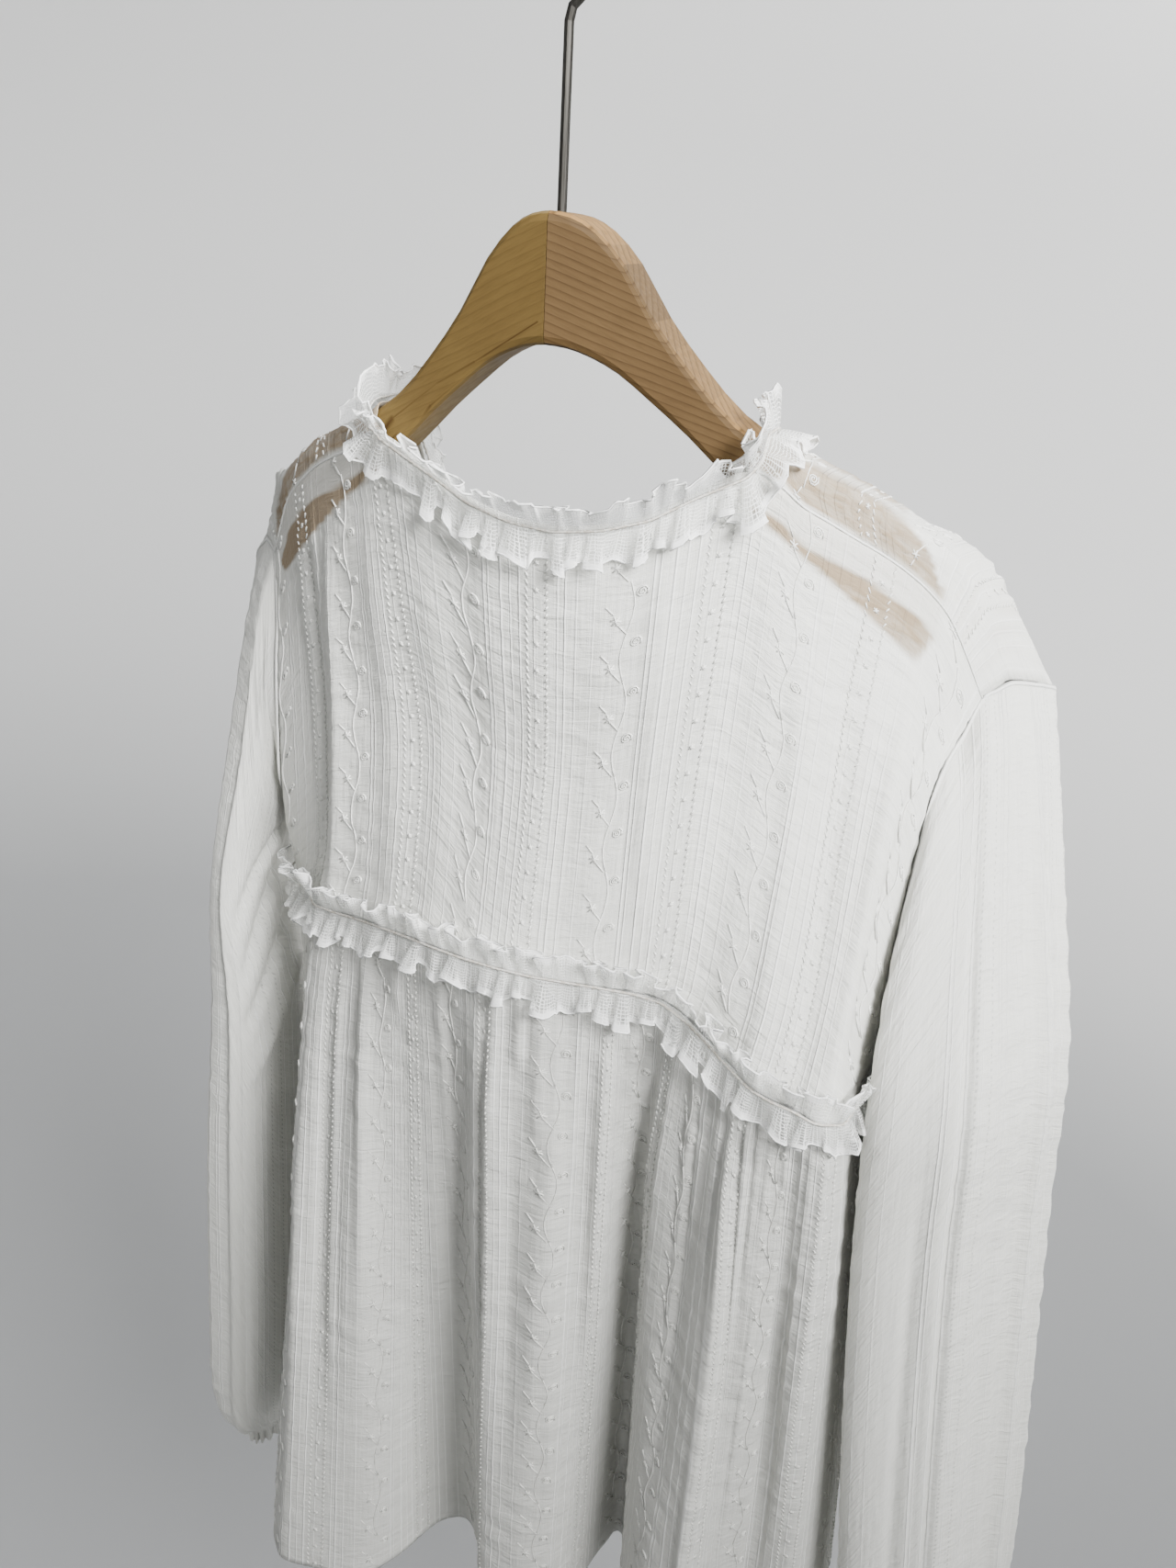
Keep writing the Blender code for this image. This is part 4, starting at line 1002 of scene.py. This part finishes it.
# The sleeves: long tubes of the same voile set into the armholes with a flat seam, and
# drawn in at the wrist by a thin elastic cord inside the hem. They hang unevenly: the
# right one stands open with a sharp ridge behind, the left one turns its narrow side.
ARMHOLE_GAP = 1.7
UNDERARM_GAP = 1.2
SLEEVE_POINTS = (6, 9, 9)
SLEEVE_HEAD_DROP = 12.0
SLEEVE_HEAD_SLOPE = 0.5
FINE_RINGS = 161
FINE_ROUND = 144
SLEEVE_FOLD_SCALE = 1.3
SLEEVE_CRINKLE = 0.26
WRIST_PLEATS = 19
WRIST_DEEP = 1.8
RIGHT_OUTLINE = [
    (-3, -58), (13, -44), (28, -26), (39, -8), (44, 12), (42, 34), (34, 50), (12, 60),
    (-8, 54), (-22, 40), (-29, 20), (-32, -4), (-38, -32), (-50, -54), (-42, -64),
    (-22, -62)]
LEFT_OUTLINE = [
    (-4, -60), (-16, -54), (-24, -44), (-26, -28), (-32, -10), (-30, 12), (-26, 32),
    (-18, 50), (-6, 60), (8, 58), (18, 46), (22, 24), (22, 4), (20, -20), (15, -42),
    (6, -56)]
RIGHT_SLEEVE = [
    (-262, 216, 64, 0.80, 0.90, 0.35), (-318, 219, 52, 0.92, 0.96, 0.75),
    (-366, 223, 46, 0.98, 1.00, 1.00), (-450, 230, 44, 1.02, 1.02, 1.00),
    (-560, 242, 42, 1.05, 1.04, 1.00), (-680, 256, 38, 1.05, 1.05, 1.00),
    (-755, 264, 36, 1.02, 1.02, 1.00), (-790, 267, 36, 0.86, 0.88, 1.00),
    (-808, 268, 36, 0.56, 0.58, 1.00), (-822, 268, 36, 0.52, 0.54, 1.00)]
LEFT_SLEEVE = [
    (-255, -196, 112, 0.60, 0.80, 0.35), (-310, -194, 110, 0.60, 0.86, 0.75),
    (-366, -199, 108, 0.50, 0.94, 1.00), (-450, -195, 104, 0.82, 1.00, 1.00),
    (-560, -197, 94, 1.04, 1.00, 1.00), (-680, -197, 80, 1.10, 0.98, 1.00),
    (-745, -198, 72, 1.10, 0.94, 1.00), (-778, -198, 68, 0.96, 0.82, 1.00),
    (-794, -197, 66, 0.72, 0.56, 1.00), (-808, -197, 66, 0.66, 0.52, 1.00)]
# Sleeve folds as for the bodice, with shares round the sleeve from its back ridge
RIGHT_SLEEVE_FOLDS = [
    (0.995, 0.990, 0.02, 0.98, 4.0, 3.0, -0.5), (0.055, 0.075, 0.00, 0.70, 6.0, 1.2, 0.0),
    (0.105, 0.120, 0.00, 0.95, 5.0, 2.0, 0.3), (0.150, 0.150, 0.02, 0.85, 5.0, -1.8, 0.0),
    (0.185, 0.190, 0.02, 0.95, 5.0, 2.2, 0.2), (0.235, 0.230, 0.05, 0.80, 6.0, -2.0, 0.0),
    (0.300, 0.280, 0.05, 0.95, 8.0, 2.4, 0.0), (0.400, 0.380, 0.10, 0.90, 8.0, -2.0, 0.0),
    (0.500, 0.520, 0.10, 0.95, 9.0, 2.6, 0.2), (0.600, 0.590, 0.25, 0.90, 8.0, 2.0, 0.0),
    (0.930, 0.900, 0.30, 0.95, 5.0, 2.2, 0.4), (0.955, 0.965, 0.40, 0.75, 3.5, 1.4, 0.0),
    (0.128, 0.136, 0.04, 0.90, 2.8, 1.3, 0.2), (0.168, 0.172, 0.03, 0.80, 2.6, 1.2, 0.0),
    (0.210, 0.212, 0.06, 0.85, 3.0, 1.5, 0.2), (0.262, 0.258, 0.04, 0.90, 3.2, 1.4, 0.0),
    (0.840, 1.050, 0.60, 0.70, 8.0, 2.0, 0.3), (0.850, 1.040, 0.67, 0.77, 7.0, 2.2, 0.3),
    (0.880, 1.060, 0.74, 0.83, 8.0, -2.0, 0.0)]
LEFT_SLEEVE_FOLDS = [
    (0.000, 0.020, 0.05, 0.95, 7.0, 2.0, 0.2), (0.070, 0.080, 0.05, 0.80, 6.0, -1.4, 0.0),
    (0.140, 0.120, 0.05, 0.90, 7.0, 1.8, 0.0), (0.250, 0.240, 0.10, 0.95, 9.0, 2.4, 0.0),
    (0.380, 0.400, 0.10, 0.90, 9.0, -2.0, 0.0), (0.500, 0.480, 0.15, 0.95, 9.0, 2.0, 0.2),
    (0.620, 0.640, 0.30, 0.90, 8.0, 1.6, 0.0), (0.930, 0.900, 0.25, 0.95, 7.0, 1.8, 0.3),
    (0.600, 0.900, 0.24, 0.34, 8.0, 3.0, 0.4), (0.600, 0.900, 0.28, 0.38, 7.0, 3.4, 0.4),
    (0.600, 0.920, 0.33, 0.42, 8.0, 3.6, 0.4), (0.620, 0.900, 0.37, 0.45, 9.0, -3.0, 0.0)]


def unit(vectors):
    """Vectors scaled to length one."""
    return vectors / np.linalg.norm(vectors, axis=-1, keepdims=True)


def along(points, shares):
    """Points at shares of the length of a line of points."""
    steps = np.concatenate([[0], np.cumsum(np.linalg.norm(np.diff(points, axis=0), axis=1))])
    wanted = np.asarray(shares) * steps[-1]
    return np.stack([np.interp(wanted, steps, points[:, k]) for k in range(3)], axis=1)


def loop_at(rows, turns):
    """A closed Catmull-Rom curve through the rows, at the given places in the list."""
    rows = np.asarray(rows, dtype=float)
    start = turns.astype(int)
    t = (turns - start).reshape((-1,) + (1,) * (rows.ndim - 1))
    return catmull_rom(*(rows[(start + k) % len(rows)] for k in (-1, 0, 1, 2)), t)


def armhole(edge, inner, underarm):
    """Just off the armhole: over the shoulder, down the front, then up the back."""
    front_edge, up = (grid[:, edge] + unit(grid[:, edge] - grid[:, inner]) * ARMHOLE_GAP
                      for grid in (coarse_front, coarse_back))
    over, down = front_edge[:SHOULDER_ROWS + 1], front_edge[SHOULDER_ROWS:]
    down = down[down[:, 2] > underarm]
    up = up[up[:, 2] > underarm][::-1]
    bottom = 0.5 * (down[-1] + up[0])
    bottom[2] = underarm
    down, up = np.vstack([down, bottom]), np.vstack([bottom, up])
    return np.vstack([along(run, np.arange(count) / count)
                      for run, count in zip((over, down, up), SLEEVE_POINTS)])


def sleeve_surface(side, hole, outline, corners, sections):
    """Rings from the armhole to the wrist, with the armhole's shape fading out."""
    turns = np.concatenate([
        np.linspace(a, b, count, endpoint=False)
        for a, b, count in zip((0, *corners), (*corners, len(outline)), SLEEVE_POINTS)])
    shape = loop_at(outline, turns)
    depth = (hole[:, 2].max() - hole[:, 2]) / np.ptp(hole[:, 2])
    ring = hole.copy()
    ring[:, 0] += side * UNDERARM_GAP * depth ** 2
    rings = [ring]
    for up, across, away, wide, deep, left in sections:
        flat = np.column_stack([across + wide * shape[:, 0], away + deep * shape[:, 1],
                                np.full(len(shape), float(up))])
        hung = ring.copy()
        hung[:, 2] += (up - sections[0][0]) * SLEEVE_HEAD_SLOPE - SLEEVE_HEAD_DROP
        rings.append(flat * left + hung * (1 - left))
    return np.array(rings)


def sleeve(name, side, edge, inner, underarm, outline, corners, sections, folds, seed, first):
    """A tube of cloth with its folds, wrist gathers and embroidery."""
    hole = armhole(edge, inner, underarm)
    coarse = sleeve_surface(side, hole, outline, corners, sections)
    rings = smooth_through(coarse, FINE_RINGS)
    turns = np.arange(FINE_ROUND) * coarse.shape[1] / FINE_ROUND
    grid = loop_at(rings.transpose(1, 0, 2), turns).transpose(1, 0, 2)
    cloth = Cloth(grid, FINE_RINGS // 2, -side, closed=True)
    round_share = np.linspace(0, 1, FINE_ROUND, endpoint=False)[None]
    down = np.linspace(0, 1, FINE_RINGS)[:, None]
    wrapped = folds + [(a - 1, b - 1, *rest) for a, b, *rest in folds]
    wrapped += [(a + 1, b + 1, *rest) for a, b, *rest in folds]
    height = SLEEVE_FOLD_SCALE * fold_heights(round_share, down, cloth.across[-1], wrapped)
    height += SLEEVE_CRINKLE * crinkles(cloth.across[None, :-1], cloth.down, seed, 34.0, 11.0)
    height *= ease(down / 0.08)
    height -= WRIST_DEEP * ease((down - 0.90) / 0.06) * np.sin(
        2 * math.pi * WRIST_PLEATS * round_share + 1.3 * np.sin(6 * math.pi * round_share))
    cloth.raised(height)
    piece = cloth_piece(f"{name}_tube", cloth, cotton, first, {"tint_share": 0.0})
    embroidery = sewn(f"{name}_embroidery", stripes(cloth, first), thread)
    return cloth, piece, embroidery


right_cloth, right_tube, right_stripes = sleeve(
    "right_sleeve", 1, COLUMNS, COLUMNS - 1, -336.0, RIGHT_OUTLINE, (4, 11), RIGHT_SLEEVE,
    RIGHT_SLEEVE_FOLDS, 31, 2.0)
left_cloth, left_tube, left_stripes = sleeve(
    "left_sleeve", -1, 0, 1, -322.0, LEFT_OUTLINE, (5, 12), LEFT_SLEEVE,
    LEFT_SLEEVE_FOLDS, 32, 30.0)
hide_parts("sleeve_right")
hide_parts("sleeve_left")


# The seams: both shoulders and both armholes are closed with a narrow flat-felled seam,
# which stands up as a crisp white ridge of four layers of voile.
RIDGE_WIDE = 2.6
RIDGE_HIGH = 1.3


def ridge(points, normals):
    """A rounded seam ridge: a broad low cord with a narrower one on it."""
    line, normal = points[None], normals[None]
    return [cords(line, normal, RIDGE_WIDE, RIDGE_HIGH, -0.5),
            cords(line, normal, RIDGE_WIDE * 0.6, RIDGE_HIGH * 0.5, 0.35)]


seam_bundles = []
shoulder_ends = ((0, NECK.start * FINER + 1), ((NECK.stop - 1) * FINER, FINE_COLUMNS))
for start, stop in shoulder_ends:
    middle = 0.5 * (back.grid[0, start:stop] + front.grid[0, start:stop])
    seam_bundles += ridge(middle, unit(back.normal[1, start:stop] + front.normal[3, start:stop]))
sewn("shoulder_seams", seam_bundles, thread)
ring_bundles = []
for cloth, edge in ((right_cloth, -1), (left_cloth, 0)):
    ring = np.concatenate([cloth.grid[0], cloth.grid[0, :2]])
    out = np.concatenate([cloth.normal[1], cloth.normal[1, :2]])
    ring_bundles += ridge(ring, out)
sewn("armhole_seams", ring_bundles, thread)


# The lace: narrow cotton net with a corded scalloped edge on both sides, gathered along
# its middle and sewn with one line of stitches, so both halves stand up in small ruffles.
NECK_LACE_GAP = 2.5
WAIST_LACE_GAP = 3.4
NECK_INSET = 2.5
FRILL_UPPER = 12.0
FRILL_LOWER = 14.0
NECK_TILT = math.radians(28.0)
WAIST_TILT = math.radians(12.0)
SCALLOP = 4.6
NET_MESH = 1.3
PETAL = 7.0
LACE_STEP = 0.75
LACE_LEVELS = np.array([0.0, 0.12, 0.28, 0.46, 0.64, 0.80, 0.91, 1.0])
RUFFLE_PITCH = 12.5
RUFFLE_OUT = 3.1
RUFFLE_SWAY = 2.3
LOWER_PHASE = 1.3
EDGE_CORD = (1.1, 0.8, -0.4)
TACK_PITCH = 3.1
TACK_CORD = (1.5, 0.7, 0.0)


def lace_material(name):
    """Net lace: hexagon mesh of fine thread, denser cloth stitch near the corded edges."""
    paint, tree, shader = new_material(name)
    flat = add(tree, "ShaderNodeUVMap", {}, uv_map="flat").outputs["UV"]
    parts = add(tree, "ShaderNodeSeparateXYZ", {"Vector": flat}).outputs
    mesh = add(tree, "ShaderNodeTexVoronoi", {"Vector": flat, "Scale": 1000.0 / NET_MESH,
                                              "Randomness": 0.25},
               voronoi_dimensions="2D", feature="DISTANCE_TO_EDGE").outputs["Distance"]
    net = ramp(tree, mesh, [(0.0, 0.9), (0.08, 0.85), (0.15, 0.14), (1.0, 0.06)])
    edge = add(tree, "ShaderNodeAttribute", {}, attribute_name="edge").outputs["Fac"]
    petals = add(tree, "ShaderNodeTexVoronoi", {"Vector": flat, "Scale": 1000.0 / PETAL,
                                                "Randomness": 0.6},
                 voronoi_dimensions="2D", feature="SMOOTH_F1").outputs["Distance"]
    leaf = add(tree, "ShaderNodeMath", {0: edge, 1: 0.75, 2: petals},
               operation="MULTIPLY_ADD").outputs[0]
    dense = ramp(tree, leaf, [(0.72, 0.0), (0.82, 0.4), (0.92, 0.55), (1.0, 0.8)])
    solid = add(tree, "ShaderNodeMath", {0: net, 1: dense}, operation="MAXIMUM").outputs[0]
    tone = ramp(tree, dense, [(0.0, linear("EDEEEB")), (1.0, linear("F8F8F6"))])
    relief = add(tree, "ShaderNodeBump", {"Height": solid, "Strength": 0.4, "Distance": 0.0003})
    fill(tree, shader, {"Base Color": tone, "Alpha": solid, "Normal": relief.outputs["Normal"],
                        "Roughness": 0.85, "Sheen Weight": 0.1})
    return paint


lace_net = lace_material("cotton_net_lace")
cording = thread_material("lace_cord_thread", "EDEEEC", "FAFAF9", 1500.0, 1.0, 0.3, 0.7)
gather_thread = thread_material("gathering_stitch_thread", "B5AEA2", "D6D4CE", 600.0, 2.0,
                                0.35, 0.85)


def wobble(circle, waves, seed):
    """Smooth uneven values about -1 to 1 round a loop: five sines with near wave counts."""
    draw = np.random.default_rng(int(seed * 10))
    total = np.zeros(len(circle))
    for _ in range(5):
        total += np.sin(max(1, round(waves * draw.uniform(0.5, 1.6))) * circle
                        + draw.uniform(0, 2 * math.pi))
    return total / 2.2


def lace_frill(name, line, rise, fall, gap, tilt, seed):
    """A ruffled ribbon along a closed line, with corded edges and a gathering stitch.

    Over the length s and height t (0 at the stitches, 1 at the edge) the ribbon goes up by
    t * height, out by t^0.8 * 3.1 * (1 + sin p) and along by -t * 2.3 * sin 2p. The phase p
    turns once a ruffle, and its speed and the size of a ruffle wobble from place to place.
    """
    closed = np.vstack([line, line[:1]])
    steps = np.concatenate([[0], np.cumsum(np.linalg.norm(np.diff(closed, axis=0), axis=1))])
    count = int(steps[-1] / LACE_STEP)
    s = np.arange(count + 1) / count * steps[-1]

    def spread(values, rounds):
        values = np.vstack([values, values[:1]])
        values = np.stack([np.interp(s[:-1], steps, values[:, k]) for k in range(3)], axis=1)
        for _ in range(rounds):
            values = 0.25 * np.roll(values, 1, 0) + 0.5 * values + 0.25 * np.roll(values, -1, 0)
        return values

    stitch = spread(line, 12)
    rise, fall = unit(spread(rise, 120)), unit(spread(fall, 120))
    tangent = unit(np.roll(stitch, -1, 0) - np.roll(stitch, 1, 0))
    outward = unit(np.cross(fall - rise, tangent))
    s = s[:-1]
    circle = 2 * math.pi * s / steps[-1]
    turns = round(steps[-1] / RUFFLE_PITCH)
    phase = turns * circle + 2.2 * wobble(circle, turns // 4, seed)
    swell = np.clip(1.05 + 0.55 * wobble(circle, turns // 3, seed + 10), 0.35, 1.7)
    base = stitch + outward * gap
    heights, rows, edges = [], [], []
    halves = ((rise * math.cos(tilt) + outward * math.sin(tilt), FRILL_UPPER, 0.0),
              (fall, FRILL_LOWER, LOWER_PHASE))
    for way, tall, shift in halves:
        p = phase + shift
        out = RUFFLE_OUT * swell * (1 + np.sin(p)) + 0.3 + 0.6 * wobble(
            circle, 2 * turns, seed + 5)
        sway = -RUFFLE_SWAY * swell * np.sin(2 * p) + 1.3 * wobble(circle, turns, seed + 6)
        scallop = 1.0 + 0.12 * np.abs(np.sin(math.pi * s / SCALLOP + 0.9 * np.sin(p)))
        high = tall * scallop * np.clip(
            1.0 + 0.2 * wobble(circle, turns // 2, seed + 7 + shift), 0.7, 1.3)
        half = [base + way * (high * t)[:, None] + outward * (out * t ** 0.8)[:, None]
                + tangent * (sway * t)[:, None] for t in LACE_LEVELS]
        edges.append(half[-1])
        rows.append(half)
    grid = np.array(rows[0][::-1] + rows[1][1:])
    flat_v = np.concatenate([-FRILL_UPPER * LACE_LEVELS[::-1], FRILL_LOWER * LACE_LEVELS[1:]])
    near_edge = np.concatenate([LACE_LEVELS[::-1], LACE_LEVELS[1:]]) ** 2
    piece = mesh_piece(name, placed(grid), grid_faces(len(grid), count, True), lace_net)
    # The ribbon's own length runs on faster than the line, by the fullness of its edge
    cut = np.concatenate([[0], np.cumsum(np.linalg.norm(
        np.roll(grid[3], -1, 0) - grid[3], axis=1))])
    uv = np.stack([np.stack([cut[c], flat_v[r]], axis=-1)
                   for r, c in face_corners(len(grid) - 1, count)], axis=2) / 1000
    piece.data.uv_layers.new(name="flat").data.foreach_set("uv", uv.ravel())
    spot = piece.data.attributes.new("edge", "FLOAT", "POINT")
    spot.data.foreach_set("value", np.repeat(near_edge, count))
    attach(piece, "root")
    loop = np.arange(0, count + 1, 2) % count
    bundles = []
    for edge in edges:
        out = unit(np.cross(np.gradient(edge[loop], axis=0), rise[loop]))
        bundles.append(cords(edge[loop][None], out[None], *EDGE_CORD))
    cord = sewn(f"{name}_cords", bundles, cording)
    pucker = 0.5 * np.sin(2 * math.pi * s / TACK_PITCH)[:, None]
    tacked = (base + outward * (0.3 + pucker * 0.6))[loop]
    tacks = sewn(f"{name}_gathering", [cords(tacked[None], outward[loop][None], *TACK_CORD)],
                 gather_thread)
    return piece, cord, tacks


first, last = NECK.start, NECK.stop - 1
rows = SHOULDER_ROWS
line = np.vstack([coarse_back[0, first:last + 1], coarse_front[1:rows, last],
                  coarse_front[rows, last:first - 1:-1], coarse_front[rows - 1:0:-1, first]])
into = np.vstack([coarse_back[1, first:last + 1], coarse_front[1:rows, last + 1],
                  coarse_front[rows + 1, last:first - 1:-1],
                  coarse_front[rows - 1:0:-1, first - 1]])
fall = unit(into - line)
neck_lace, neck_cords, neck_tacks = lace_frill(
    "neck_lace", line + fall * NECK_INSET, -fall, fall, NECK_LACE_GAP, NECK_TILT, 1)
step = PEPLUM_COLUMNS // COLUMNS
line = np.vstack([coarse_back[-1], coarse_front[-1, ::-1]])
above = np.vstack([coarse_back[-2], coarse_front[-2, ::-1]])
below = np.vstack([coarse_back_peplum[1, ::step], coarse_front_peplum[1, ::-step]])
waist_lace, waist_cords, waist_tacks = lace_frill(
    "waist_lace", line, unit(above - line), unit(below - line), WAIST_LACE_GAP, WAIST_TILT, 2)
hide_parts("neck_frill")
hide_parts("waist_frill")
